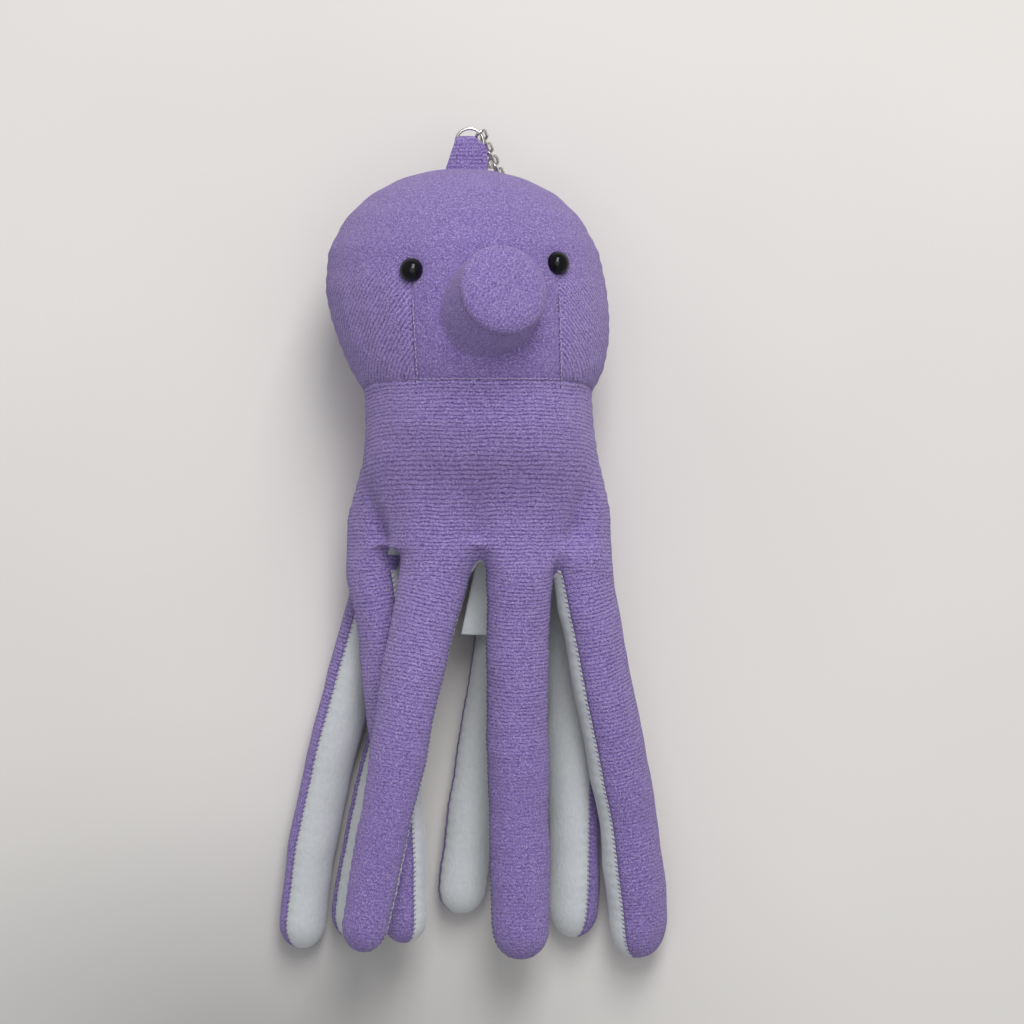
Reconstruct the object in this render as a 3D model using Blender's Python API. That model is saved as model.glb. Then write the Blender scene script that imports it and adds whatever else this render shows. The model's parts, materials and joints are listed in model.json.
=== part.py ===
"""Plush octopus key-chain toy, lying on its back with its eight stuffed arms piled loosely.

Frame: metres, +X to the toy's left-hand side seen from above, +Y towards the hanging loop on
the top of the head, +Z up. The floor is z = 0 and the origin is under the middle of the toy.
Every length below is in millimetres and becomes metres when a mesh is made.
"""

import math

import bmesh
import bpy
from mathutils import Vector

MM = 0.001
CLOTH = 1.0          # thickness of the knitted and fleece panels
GAP = 0.3            # clearance between neighbouring solids
SEAM = GAP / 2       # what each of two sewn panels leaves free of their shared seam

# Torso: head ball and bell-shaped body, as cross-sections along Y.
HEAD_MIDDLE = 67.6
HEAD_HALF_WIDTH = 36.2
HEAD_UPPER_HEIGHT = 30.6
HEAD_LOWER_HEIGHT = 47.0
HEAD_SEAM_HEIGHT = 33.0
HEAD_FRONT = 33.0
HEAD_BACK = 35.0     # more than the seam height: the floor presses the back of the head flat
CROWN_POWER = 2.15   # superellipse power of the crown's outline
NECK = 40.0
NECK_HALF_WIDTH = 29.4
NECK_FRONT_Z = 59.5
NECK_BACK_Z = 5.8
HEM = 0.6            # Y of the body's lower edge
HEM_HALF_WIDTH = 35.0
HEM_FRONT_Z = 45.5
HEM_BACK_Z = 0.4
HEM_POWER = 2.7
LEAN_FROM = 44.0     # the head leans over a little between these two heights
LEAN_LENGTH = 33.0
NECK_X = 1.2
CROWN_X = -2.4
PANEL_SPANS = 12     # flats across one half of the torso, from side seam to side seam

# Nose: a short stuffed tube with a flat round end, sewn to the face.
NOSE_BASE = (4.1, 60.9)
NOSE_END = (8.3, 63.2, 76.0)
NOSE_BASE_RADIUS = 11.3
NOSE_END_RADIUS = 10.9
NOSE_BULGE = 0.4
NOSE_SIDES = 16

# Safety eyes: a dome on a shank, held by a washer inside the head.
EYES = {"left": (-14.8, 70.5), "right": (22.0, 72.7)}
EYE_RADIUS = 3.0
EYE_HEIGHT = 2.5
SHANK_RADIUS = 0.9
SHANK_LENGTH = 5.0
SHANK_HOLE = 1.25
WASHER_RADIUS = 4.4
WASHER_DEPTH = 2.4
WASHER_THICKNESS = 0.8
POCKET_RADIUS = 5.2
POCKET_DEPTH = 5.8

# Arms: hinge point at the root, two points on the way and the tip, then the half-widths at
# root and tip and the roll of the knitted outer face (0 faces up, 90 right, 180 down).
ARMS = {
    "far_left": ([(-24.6, -9, 7.6), (-33.8, -39, 7.2), (-41.7, -72, 7.1), (-46.6, -107.6, 6.8)],
                 (7.4, 6.5), (-119, -135)),
    "rear_left": ([(-9.2, -9, 7.6), (-18.3, -40, 7.2), (-26.8, -72, 7.1), (-32.8, -104.4, 7.0)],
                  (7.5, 6.4), (-155, -150)),
    "left": ([(-25.9, -9, 23.2), (-21.2, -40, 22.9), (-19.2, -72, 22.7), (-17.6, -103.4, 22.5)],
             (7.8, 6.8), (-52, -64)),
    "front_left": ([(-10.2, -9, 36.4), (-16.7, -40, 37.8), (-22.6, -72, 37.8), (-29.4, -104.2, 37)],
                   (9.1, 6.0), (-4, -8)),
    "rear_right": ([(9.0, -9, 7.6), (5.3, -40, 7.3), (-0.5, -72, 7.2), (-3.4, -94.6, 7.0)],
                   (8.1, 6.4), (-172, -166)),
    "front_right": ([(12.3, -9, 36.0), (11.8, -40, 29.8), (12.4, -72, 25.4), (12.4, -109.6, 23.6)],
                    (8.6, 8.0), (2, 2)),
    "far_right": ([(26.5, -9, 7.6), (26.7, -40, 7.3), (27.2, -72, 7.3), (26.6, -104, 7.1)],
                  (7.7, 7.2), (142, 118)),
    "right": ([(29.2, -9, 29.0), (35.2, -40, 23.0), (41.0, -72, 15.6), (44.5, -111.5, 9.2)],
              (8.3, 8.6), (50, 62)),
}
ARM_FLATNESS = 0.88  # thickness of an arm as a share of its width
TIP_LENGTH = 1.15    # length of the rounded tip as a multiple of its half-width
CAP_ANGLES = (32, 62)
ARM_SPANS = 5
ARM_FACE_SPANS = 6   # flats across one face of an arm

# Care label under the body.
LABEL_TOP = (8.3, -2.2, 21.0)
LABEL_ALONG = (-0.2, -0.97, -0.13)
LABEL_WIDTH = 14.0
LABEL_LENGTH = 22.0
LABEL_THICKNESS = 0.8

# Hanging loop on the crown, jump ring, chain and split key ring.
LOOP_X = -0.8
LOOP_Z = 33.0
LOOP_HINGE_Y = 100.7
LOOP_TOP_Y = 106.4
LOOP_SLOT_Y = 101.6
LOOP_THICKNESS = 4.0
LOOP_CLOTH = 0.8
LOOP_BASE_HALF_WIDTH = 5.4
LOOP_TOP_HALF_WIDTH = 2.2
RING_CENTRE = (-0.6, 106.0, 33.0)
RING_RADIUS = 3.5
WIRE = 0.5
RING_HOOK_ANGLE = 36
LINKS = 8
LINK_HALF_WIDTH = 1.4
LAST_LINK_HALF_WIDTH = 2.2   # room for both turns of the split ring
KEY_RING_RADIUS = 7.0
KEY_RING_WIRE = 0.5
KEY_RING_PITCH = 1.3
KEY_RING_TURNS = 1.95
KEY_RING_HOOK = (7.5, 98.8, 2.75)
KEY_RING_TILT = 3.0
KEY_RING_STEPS = 35


def smoothstep(value):
    value = min(max(value, 0.0), 1.0)
    return value * value * (3 - 2 * value)


def mix(start, end, share):
    return start + (end - start) * share


# ---------------------------------------------------------------- materials and meshes

def make_material(name, colour, roughness, metallic=0.0):
    material = bpy.data.materials.new(name)
    material.use_nodes = True
    shader = material.node_tree.nodes["Principled BSDF"]
    shader.inputs["Base Color"].default_value = (*colour, 1.0)
    shader.inputs["Roughness"].default_value = roughness
    shader.inputs["Metallic"].default_value = metallic
    return material


def make_materials():
    return {
        "knit": make_material("purple_knit", (0.24, 0.13, 0.50), 0.9),
        "fleece": make_material("white_fleece", (0.85, 0.85, 0.88), 0.95),
        "stuffing": make_material("polyester_stuffing", (0.9, 0.9, 0.88), 1.0),
        "eye": make_material("black_gloss_plastic", (0.01, 0.01, 0.01), 0.08),
        "washer": make_material("white_plastic", (0.8, 0.8, 0.78), 0.5),
        "satin": make_material("white_satin", (0.92, 0.92, 0.94), 0.4),
        "steel": make_material("plated_steel", (0.75, 0.75, 0.76), 0.2, 1.0),
    }


def make_hinge(name, place):
    """An empty on a joint's axis, the parent of the pieces that turn about it."""
    hinge = bpy.data.objects.new(name, None)
    hinge.location = Vector(place) * MM
    bpy.context.collection.objects.link(hinge)
    return hinge


class Shape:
    """Points and faces, collected row by row. A row of one point is a pole."""

    def __init__(self):
        self.points = []
        self.faces = []

    def row(self, points):
        first = len(self.points)
        self.points.extend(Vector(point) for point in points)
        return list(range(first, len(self.points)))

    def bridge(self, near, far, closed=False):
        count = max(len(near), len(far))
        for index in range(count if closed else count - 1):
            after = (index + 1) % count
            if len(near) == 1:
                self.faces.append((near[0], far[index], far[after]))
            elif len(far) == 1:
                self.faces.append((near[index], far[0], near[after]))
            else:
                self.faces.append((near[index], far[index], far[after], near[after]))

    def loft(self, rows, closed=True, cyclic=False):
        numbers = [self.row(row) for row in rows]
        for near, far in zip(numbers, numbers[1:]):
            self.bridge(near, far, closed)
        if cyclic:
            self.bridge(numbers[-1], numbers[0], closed)
        return numbers

    def cap(self, row):
        self.faces.append(tuple(row))

    def to_object(self, name, material, hinge=None):
        origin = hinge.location / MM if hinge else Vector()
        mesh = bpy.data.meshes.new(name)
        mesh.from_pydata([(point - origin) * MM for point in self.points], [], self.faces)
        work = bmesh.new()
        work.from_mesh(mesh)
        bmesh.ops.recalc_face_normals(work, faces=work.faces)
        work.to_mesh(mesh)
        work.free()
        mesh.shade_smooth()
        mesh.set_sharp_from_angle(angle=math.radians(40))
        mesh.materials.append(material)
        piece = bpy.data.objects.new(name, mesh)
        bpy.context.collection.objects.link(piece)
        piece.parent = hinge
        return piece


def sewn_half(outer_rows, inner_rows):
    """One cloth panel: an outer and an inner sheet, joined all round their edges."""
    shape = Shape()
    outer = shape.loft(outer_rows, closed=False)
    inner = shape.loft(inner_rows, closed=False)
    for edge in (0, -1):
        shape.bridge([row[edge] for row in outer], [row[edge] for row in inner])
    for end in (0, -1):
        if len(outer[end]) > 1:
            shape.bridge(outer[end], inner[end])
    return shape


def turned(profile, place, axis, sides):
    """A closed profile of (radius, height) pairs, turned about an axis; radius 0 is a pole."""
    turn = axis.to_track_quat("Z", "Y")
    rows = []
    for radius, height in profile:
        count = sides if radius else 1
        angles = [math.tau * index / sides for index in range(count)]
        rows.append([place + turn @ Vector((radius * math.cos(a), radius * math.sin(a), height))
                     for a in angles])
    shape = Shape()
    shape.loft(rows, cyclic=profile[0][0] > 0)
    return shape


def wire_shape(path, normal, radius, sides=6, closed=True):
    """A round wire along a path that lies in, or nearly in, the plane of the given normal."""
    rows = []
    count = len(path)
    for index, point in enumerate(path):
        before = path[(index - 1) % count if closed else max(index - 1, 0)]
        after = path[(index + 1) % count if closed else min(index + 1, count - 1)]
        side = (after - before).normalized().cross(normal).normalized()
        rows.append([point + radius * (math.cos(a) * side + math.sin(a) * normal)
                     for a in (math.tau * step / sides for step in range(sides))])
    shape = Shape()
    numbers = shape.loft(rows, cyclic=closed)
    if not closed:
        shape.cap(numbers[0])
        shape.cap(numbers[-1])
    return shape


# ---------------------------------------------------------------- torso

def lean(y):
    return mix(NECK_X, CROWN_X, smoothstep((y - LEAN_FROM) / LEAN_LENGTH))


def head_section(y, inset):
    """Centre x, seam z, half-width, front depth, back depth and power of the head at y."""
    if y < HEAD_MIDDLE:
        share = math.sqrt(1 - ((HEAD_MIDDLE - y) / HEAD_LOWER_HEIGHT) ** 2)
    else:
        rise = min((y - HEAD_MIDDLE) / (HEAD_UPPER_HEIGHT - inset), 1.0)
        share = (1 - rise ** CROWN_POWER) ** (1 / CROWN_POWER)
    sizes = [(size - inset) * share for size in (HEAD_HALF_WIDTH, HEAD_FRONT, HEAD_BACK)]
    return (lean(y), HEAD_SEAM_HEIGHT, *sizes, 2.0)


def body_section(y, inset):
    """The same six values for the bell-shaped body below the neck."""
    drop = (NECK - y) / (NECK - HEM)
    flare = smoothstep((drop - 0.2) / 0.75)
    front = mix(NECK_FRONT_Z, HEM_FRONT_Z, smoothstep(drop))
    back = mix(NECK_BACK_Z, HEM_BACK_Z, smoothstep(drop))
    seam = (front + back) / 2
    half_width = mix(NECK_HALF_WIDTH, HEM_HALF_WIDTH, flare)
    depth = (front - back) / 2 - inset
    return (lean(y), seam, half_width - inset, depth, depth, mix(2.1, HEM_POWER, drop))


def torso_arc(section, y, side, inset, count):
    """Points of a section's front (side 1) or back (side -1) half, from seam to seam."""
    centre, seam, half_width, front, back, power = section
    depth = front if side > 0 else back
    points = []
    for step in range(count + 1):
        turn = math.pi * step / count
        across = math.copysign(abs(math.cos(turn)) ** (2 / power), math.cos(turn))
        up = abs(math.sin(turn)) ** (2 / power) if 0 < step < count else 0.0
        z = max(seam + side * depth * up, inset)
        points.append(Vector((centre + half_width * across, y, z)))
    return points


def head_stations(inset):
    lower = [mix(NECK + SEAM, HEAD_MIDDLE, step / 4) for step in range(5)]
    height = HEAD_UPPER_HEIGHT - inset
    upper = [HEAD_MIDDLE + height * math.sin(math.radians(a)) ** (2 / CROWN_POWER)
             for a in (17, 34, 50, 65, 78)]
    return lower + upper


def body_stations():
    return [mix(HEM, NECK - SEAM, step / 5) for step in range(6)]


def crown(inset):
    return Vector((lean(HEAD_MIDDLE + HEAD_UPPER_HEIGHT), HEAD_MIDDLE + HEAD_UPPER_HEIGHT - inset,
                   HEAD_SEAM_HEIGHT))


def panel_rows(stations, section, side, inset, top=None):
    shift = Vector((0, 0, side * SEAM))
    rows = [torso_arc(section(y, inset), y, side, inset, PANEL_SPANS) for y in stations]
    if top:
        rows.append([top])
    lifted = [[point + shift for point in row] for row in rows]
    floor = inset if side < 0 else 0.0
    return [[Vector((p.x, p.y, max(p.z, floor))) for p in row] for row in lifted]


def make_torso(looks):
    for name, side in (("front", 1), ("back", -1)):
        head = [panel_rows(head_stations(inset), head_section, side, inset, crown(inset))
                for inset in (0.0, CLOTH)]
        sewn_half(*head).to_object(f"head_{name}_panel", looks["knit"])
        body = [panel_rows(body_stations(), body_section, side, inset) for inset in (0.0, CLOTH)]
        sewn_half(*body).to_object(f"body_{name}_panel", looks["knit"])
    make_underside(looks["fleece"])
    make_torso_stuffing(looks["stuffing"])


def closed_ring(section, y, inset):
    """A whole section, as the front half followed by the back half."""
    front = torso_arc(section, y, 1, inset, PANEL_SPANS)
    back = torso_arc(section, y, -1, inset, PANEL_SPANS)
    return front[:-1] + back[::-1][:-1]


def make_underside(material):
    """The white panel that closes the body between the roots of the arms."""
    inset = CLOTH + GAP
    rings = [closed_ring(body_section(HEM, inset), y, inset) for y in (HEM, HEM + CLOTH)]
    shape = Shape()
    rows = shape.loft(rings)
    shape.cap(rows[0])
    shape.cap(rows[1])
    shape.to_object("underside_panel", material)


def make_torso_stuffing(material):
    inset = CLOTH + GAP
    start = HEM + CLOTH + GAP
    body_heights = [start, *body_stations()[1:]]
    rings = [closed_ring(body_section(y, inset), y, inset) for y in body_heights]
    rings += [closed_ring(head_section(y, inset), y, inset) for y in head_stations(inset)]
    middle = body_section(start, inset)
    rows = [[Vector((middle[0], start, middle[1]))], *rings, [crown(inset)]]
    shape = Shape()
    shape.loft(rows)
    stuffing = shape.to_object("torso_stuffing", material)
    for side, place in EYES.items():
        point, normal = face_point(*place)
        profile = [(0, 1.0), (POCKET_RADIUS, 1.0), (POCKET_RADIUS, -POCKET_DEPTH),
                   (0, -POCKET_DEPTH)]
        cut(stuffing, f"pocket_cutter_{side}", turned(profile, point, normal, 12))


def cut(piece, name, shape):
    """Subtracts a hidden guide solid from a piece."""
    guide = shape.to_object(name, piece.data.materials[0])
    guide.hide_render = True
    guide.display_type = "WIRE"
    boolean = piece.modifiers.new(name, "BOOLEAN")
    boolean.operation = "DIFFERENCE"
    boolean.object = guide


def face_height(x, y):
    """Height of the face's cloth above the floor."""
    centre, seam, half_width, front, _, _ = head_section(y, 0.0)
    share = min(abs(x - centre) / half_width, 1.0)
    return seam + SEAM + front * math.sqrt(1 - share ** 2)


def face_point(x, y):
    """Point and outward normal of the face at x, y."""
    step = 0.5
    slope_x = (face_height(x + step, y) - face_height(x - step, y)) / (2 * step)
    slope_y = (face_height(x, y + step) - face_height(x, y - step)) / (2 * step)
    return Vector((x, y, face_height(x, y))), Vector((-slope_x, -slope_y, 1)).normalized()


# ---------------------------------------------------------------- face

def make_eyes(looks):
    for side, place in EYES.items():
        point, normal = face_point(*place)
        hole = [(0, 3.0), (SHANK_HOLE, 3.0), (SHANK_HOLE, -4.0), (0, -4.0)]
        cut(bpy.data.objects["head_front_panel"], f"shank_cutter_{side}",
            turned(hole, point, normal, 10))
        dome = [(0, EYE_HEIGHT + GAP)]
        for angle in (20, 42, 64, 84):
            turn = math.radians(angle)
            dome.append((EYE_RADIUS * math.sin(turn), GAP + EYE_HEIGHT * math.cos(turn)))
        dome += [(EYE_RADIUS * 0.95, GAP), (SHANK_RADIUS, GAP), (SHANK_RADIUS, -SHANK_LENGTH),
                 (0, -SHANK_LENGTH)]
        turned(dome, point, normal, 14).to_object(f"eye_{side}", looks["eye"])
        top = -WASHER_DEPTH
        bottom = top - WASHER_THICKNESS
        washer = [(SHANK_HOLE, top), (WASHER_RADIUS, top), (WASHER_RADIUS, bottom),
                  (SHANK_HOLE, bottom)]
        turned(washer, point, normal, 14).to_object(f"eye_washer_{side}", looks["washer"])


def nose_ring(radius, share, lift=0.0):
    """A ring of the nose's wall between its base (share 0) and its end (share 1).

    At the base each point is slid along the wall until it stands GAP clear of the face.
    """
    end = Vector(NOSE_END)
    base = Vector((*NOSE_BASE, face_height(*NOSE_BASE)))
    axis = (end - base).normalized()
    turn = axis.to_track_quat("Z", "Y")
    points = []
    for step in range(NOSE_SIDES):
        angle = math.tau * step / NOSE_SIDES
        spoke = turn @ Vector((math.cos(angle), math.sin(angle), 0))
        top = end + spoke * (NOSE_END_RADIUS + radius)
        slope = (base + spoke * (NOSE_BASE_RADIUS + radius) - top).normalized()
        low = 0.0
        high = 40.0
        for _ in range(30):
            reach = (low + high) / 2
            foot = top + slope * reach
            if foot.z - face_height(foot.x, foot.y) > GAP * 1.5:
                low = reach
            else:
                high = reach
        bulge = spoke * NOSE_BULGE * math.sin(math.pi * share)
        points.append(top + slope * low * (1 - share) + bulge + axis * lift)
    return points


def make_nose(looks):
    wall = [nose_ring(0.0, share) for share in (0.0, 0.5, 1.0)]
    wall += [nose_ring(-CLOTH, share) for share in (1.0, 0.5, 0.0)]
    side = Shape()
    side.loft(wall, cyclic=True)
    side.to_object("nose_side_panel", looks["knit"])

    end = Vector(NOSE_END)
    base = Vector((*NOSE_BASE, face_height(*NOSE_BASE)))
    axis = (end - base).normalized()
    disc = [(0, GAP), (NOSE_END_RADIUS - 0.4, GAP), (NOSE_END_RADIUS, GAP + 0.6),
            (NOSE_END_RADIUS - 0.6, GAP + CLOTH + 0.3), (0, GAP + CLOTH + 0.9)]
    turned(disc, end, axis, 20).to_object("nose_end_disc", looks["knit"])

    inset = -(CLOTH + GAP)
    rings = [nose_ring(inset, share) for share in (0.0, 0.5)] + [nose_ring(inset, 1.0, -SEAM)]
    stuffing = Shape()
    stuffing.loft([[base + axis * 2 * GAP], *rings, [end]])
    stuffing.to_object("nose_stuffing", looks["stuffing"])


# ---------------------------------------------------------------- arms

def through(points, share):
    """The smooth cubic through four evenly spaced points."""
    total = Vector()
    knots = [index / 3 for index in range(4)]
    for index, point in enumerate(points):
        weight = 1.0
        for other in range(4):
            if other != index:
                weight *= (share - knots[other]) / (knots[index] - knots[other])
        total += Vector(point) * weight
    return total


def arm_sections(points, half_widths, inset):
    """Centre, tangent, share along the arm, size factor and half-width of each section."""
    def tangent(share):
        return (through(points, share + 0.01) - through(points, share - 0.01)).normalized()

    root, tip = half_widths
    length = (Vector(points[-1]) - Vector(points[0])).length
    last = 1 - tip * TIP_LENGTH / length
    sections = []
    for angle in (0, *CAP_ANGLES):
        turn = math.radians(angle)
        centre = Vector(points[0]) - tangent(0) * (root - inset) * math.cos(turn)
        sections.append((centre, tangent(0), 0.0, math.sin(turn), root))
    for step in range(ARM_SPANS + 1):
        share = last * step / ARM_SPANS
        sections.append((through(points, share), tangent(share), share, 1.0,
                         mix(root, tip, share / last)))
    for angle in (*CAP_ANGLES[::-1], 0):
        turn = math.radians(angle)
        centre = through(points, last) + tangent(last) * (tip * TIP_LENGTH - inset) * math.cos(turn)
        sections.append((centre, tangent(last), 1.0, math.sin(turn), tip))
    return sections


def arm_rows(arm, inset, start, sweep, count, shift=0.0):
    """Rows of points round the arm, from angle start over sweep, measured from its outer face."""
    points, half_widths, rolls = arm
    rows = []
    for centre, tangent, share, size, half_width in arm_sections(points, half_widths, inset):
        up = (Vector((0, 0, 1)) - tangent * tangent.z).normalized()
        right = up.cross(tangent)
        roll = math.radians(mix(*rolls, share))
        face = math.cos(roll) * up + math.sin(roll) * right
        across = math.cos(roll) * right - math.sin(roll) * up
        middle = centre + face * shift
        if size == 0:
            rows.append([middle])
            continue
        wide = (half_width - inset) * size
        thick = (half_width * ARM_FLATNESS - inset) * size
        angles = [start + sweep * step / count for step in range(count + (sweep < math.tau))]
        rows.append([middle + across * wide * math.sin(a) + face * thick * math.cos(a)
                     for a in angles])
    return rows


def make_arm(name, arm, looks):
    hinge = make_hinge(f"arm_{name}_hinge", arm[0][0])
    quarter = math.pi / 2
    for label, start, shift in (("knit", -quarter, SEAM), ("fleece", quarter, -SEAM)):
        sheets = [arm_rows(arm, inset, start, math.pi, ARM_FACE_SPANS, shift)
                  for inset in (0.0, CLOTH)]
        sewn_half(*sheets).to_object(f"arm_{name}_{label}_face", looks[label], hinge)
    stuffing = Shape()
    stuffing.loft(arm_rows(arm, CLOTH + GAP, 0.0, math.tau, 10))
    stuffing.to_object(f"arm_{name}_stuffing", looks["stuffing"], hinge)


# ---------------------------------------------------------------- label, loop and key chain

def make_label(material):
    along = Vector(LABEL_ALONG).normalized()
    across = along.cross(Vector((0, 0, -1))).normalized()
    out = along.cross(across)
    hinge = make_hinge("care_label_hinge", LABEL_TOP)
    rows = []
    for reach in (0.4, LABEL_LENGTH):
        centre = Vector(LABEL_TOP) + along * reach
        rows.append([centre + across * LABEL_WIDTH / 2 * x + out * LABEL_THICKNESS / 2 * z
                     for x, z in ((-1, -1), (1, -1), (1, 1), (-1, 1))])
    shape = Shape()
    numbers = shape.loft(rows)
    shape.cap(numbers[0])
    shape.cap(numbers[1])
    shape.to_object("care_label", material, hinge)


def loop_outline(low, high, radius):
    """An upright slot outline in the YZ plane, between two Y limits."""
    points = []
    for centre, first in ((high - radius, 0), (low + radius, 180)):
        for step in range(7):
            turn = math.radians(first + 90 - 30 * step)
            points.append((centre + radius * math.cos(turn), LOOP_Z + radius * math.sin(turn)))
    return points


def make_loop(material):
    hinge = make_hinge("hanging_loop_hinge", (LOOP_X, LOOP_HINGE_Y, LOOP_Z))
    radius = LOOP_THICKNESS / 2
    low = LOOP_HINGE_Y - radius
    outer = loop_outline(low, LOOP_TOP_Y, radius)
    inner = loop_outline(LOOP_SLOT_Y, LOOP_TOP_Y - LOOP_CLOTH, radius - LOOP_CLOTH)

    def place(outline, side):
        points = []
        for y, z in outline:
            share = (y - low) / (LOOP_TOP_Y - low)
            half_width = mix(LOOP_BASE_HALF_WIDTH, LOOP_TOP_HALF_WIDTH, share)
            points.append(Vector((LOOP_X + side * half_width, y, z)))
        return points

    shape = Shape()
    shape.loft([place(outer, -1), place(outer, 1), place(inner, 1), place(inner, -1)],
               cyclic=True)
    shape.to_object("hanging_loop", material, hinge)


def circle(centre, radius, count):
    return [centre + Vector((math.cos(a), math.sin(a), 0)) * radius
            for a in (math.tau * step / count for step in range(count))]


def link_path(centre, along, across, half_length, half_width):
    """The centreline of an oval link."""
    reach = half_length - half_width
    points = []
    for end in (1, -1):
        for step in range(6):
            turn = math.pi * step / 5
            points.append(centre + end * along * (reach + half_width * math.sin(turn))
                          + end * across * half_width * math.cos(turn))
    return points


def make_chain(material):
    ring_centre = Vector(RING_CENTRE)
    ring_hinge = make_hinge("jump_ring_hinge", ring_centre - Vector((0, RING_RADIUS, 0)))
    wire_shape(circle(ring_centre, RING_RADIUS, 18), Vector((0, 0, 1)), WIRE) \
        .to_object("jump_ring", material, ring_hinge)

    hook = math.radians(RING_HOOK_ANGLE)
    start = ring_centre + Vector((math.cos(hook), math.sin(hook), 0)) * RING_RADIUS
    tangent = Vector((-math.sin(hook), math.cos(hook), 0))
    finish = Vector(KEY_RING_HOOK)
    along = (finish - start).normalized()
    hold = 2 * WIRE + GAP
    stack = KEY_RING_PITCH / 2 + KEY_RING_WIRE + GAP + WIRE
    half_length = ((finish - start).length + LINKS * hold + stack) / (2 * LINKS)
    normal = (tangent - along * tangent.dot(along)).normalized()
    turned_normal = along.cross(normal)
    if turned_normal.x < 0:
        turned_normal = -turned_normal
    grip = start
    for number in range(1, LINKS + 1):
        plane = normal if number % 2 else turned_normal
        hinge = make_hinge(f"chain_link_{number}_hinge", grip)
        centre = grip + along * (half_length - hold)
        half_width = LAST_LINK_HALF_WIDTH if number == LINKS else LINK_HALF_WIDTH
        path = link_path(centre, along, along.cross(plane), half_length, half_width)
        wire_shape(path, plane, WIRE).to_object(f"chain_link_{number}", material, hinge)
        grip = centre + along * half_length
    make_key_ring(material)


def make_key_ring(material):
    """Two flat turns of wire whose far side, at +Y, runs through the last link."""
    tilt = math.radians(KEY_RING_TILT)
    normal = Vector((0, -math.sin(tilt), math.cos(tilt)))
    inward = Vector((0, -math.cos(tilt), -math.sin(tilt)))
    hook = Vector(KEY_RING_HOOK)
    centre = hook + inward * KEY_RING_RADIUS
    across = Vector((1, 0, 0))
    path = []
    for step in range(KEY_RING_STEPS + 1):
        turns = KEY_RING_TURNS * step / KEY_RING_STEPS
        turn = math.tau * turns - math.pi / 2
        rise = KEY_RING_PITCH * (turns - KEY_RING_TURNS / 2)
        spoke = across * math.cos(turn) - inward * math.sin(turn)
        path.append(centre + spoke * KEY_RING_RADIUS + normal * rise)
    hinge = make_hinge("split_ring_hinge", hook)
    wire_shape(path, normal, KEY_RING_WIRE, closed=False).to_object("split_ring", material, hinge)


def main():
    for old in list(bpy.data.objects):
        bpy.data.objects.remove(old)
    looks = make_materials()
    make_torso(looks)
    make_eyes(looks)
    make_nose(looks)
    for name, arm in ARMS.items():
        make_arm(name, arm, looks)
    make_label(looks["satin"])
    make_loop(looks["knit"])
    make_chain(looks["steel"])


main()
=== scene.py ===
"""Looks of the plush octopus key chain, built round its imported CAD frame.

Lengths are in millimetres and become metres when a mesh is made. Places and sizes are measured
from the CAD nodes and joints; the values named below are cloth details that the CAD leaves out.
"""

import json
import math
from types import SimpleNamespace

import bpy
import numpy as np
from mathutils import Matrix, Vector
from mathutils.bvhtree import BVHTree

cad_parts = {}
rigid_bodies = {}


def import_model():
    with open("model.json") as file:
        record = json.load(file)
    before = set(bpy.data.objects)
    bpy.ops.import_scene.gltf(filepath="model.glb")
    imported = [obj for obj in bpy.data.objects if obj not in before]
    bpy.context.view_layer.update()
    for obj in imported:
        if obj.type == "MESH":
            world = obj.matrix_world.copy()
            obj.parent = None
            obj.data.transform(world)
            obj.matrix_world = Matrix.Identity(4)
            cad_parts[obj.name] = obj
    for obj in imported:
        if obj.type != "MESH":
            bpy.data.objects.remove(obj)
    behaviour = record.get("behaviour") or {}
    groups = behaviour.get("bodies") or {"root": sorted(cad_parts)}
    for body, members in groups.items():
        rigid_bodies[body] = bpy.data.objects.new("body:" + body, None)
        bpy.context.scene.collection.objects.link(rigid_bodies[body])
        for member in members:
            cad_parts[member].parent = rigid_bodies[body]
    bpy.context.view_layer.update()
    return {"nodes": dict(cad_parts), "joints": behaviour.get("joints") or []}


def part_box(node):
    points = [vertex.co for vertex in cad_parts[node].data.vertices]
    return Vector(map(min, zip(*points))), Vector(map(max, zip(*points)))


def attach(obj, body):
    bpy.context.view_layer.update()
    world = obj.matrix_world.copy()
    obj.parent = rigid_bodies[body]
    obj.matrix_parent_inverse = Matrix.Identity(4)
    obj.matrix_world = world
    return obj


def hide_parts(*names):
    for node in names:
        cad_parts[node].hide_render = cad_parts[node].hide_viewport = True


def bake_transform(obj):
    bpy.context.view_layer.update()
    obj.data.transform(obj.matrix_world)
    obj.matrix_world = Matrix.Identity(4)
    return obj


MM = 0.001

# Camera, straight above the toy, and the light: name, place, size and power of each lamp.
CAMERA_PLACE = (10.4, 9.8, 900.0)
CAMERA_LENS = 117.2
LAMPS = (("window", (130, 560, 800), (330, 620), 5.9), ("ceiling", (20, 60, 1250), (900, 900), 2.9))
SKY_COLOUR = (0.93, 0.96, 1.0, 1.0)
SKY_STRENGTH = 0.36
FLOOR_SIZE = 3000.0
PAINTED_SHADE_CENTRE = (-60.0, -138.0)      # a broad soft shadow painted on the floor
PAINTED_SHADE_RADIUS = (175.0, 95.0)

# Cloth.
COURSE = 0.97           # distance between the rows of the knit
KNIT_DARK = (0.085, 0.048, 0.180)
KNIT_MIDDLE = (0.262, 0.177, 0.502)
KNIT_LIGHT = (0.455, 0.355, 0.680)
KNIT_PAINTED_GLINT = (0.80, 0.75, 0.92)
KNIT_WORN_AND_SHADED = (0.270, 0.205, 0.440)
FLEECE_COLOUR = (0.61, 0.62, 0.63)
FLEECE_SHADE = (0.51, 0.53, 0.55)

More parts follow.
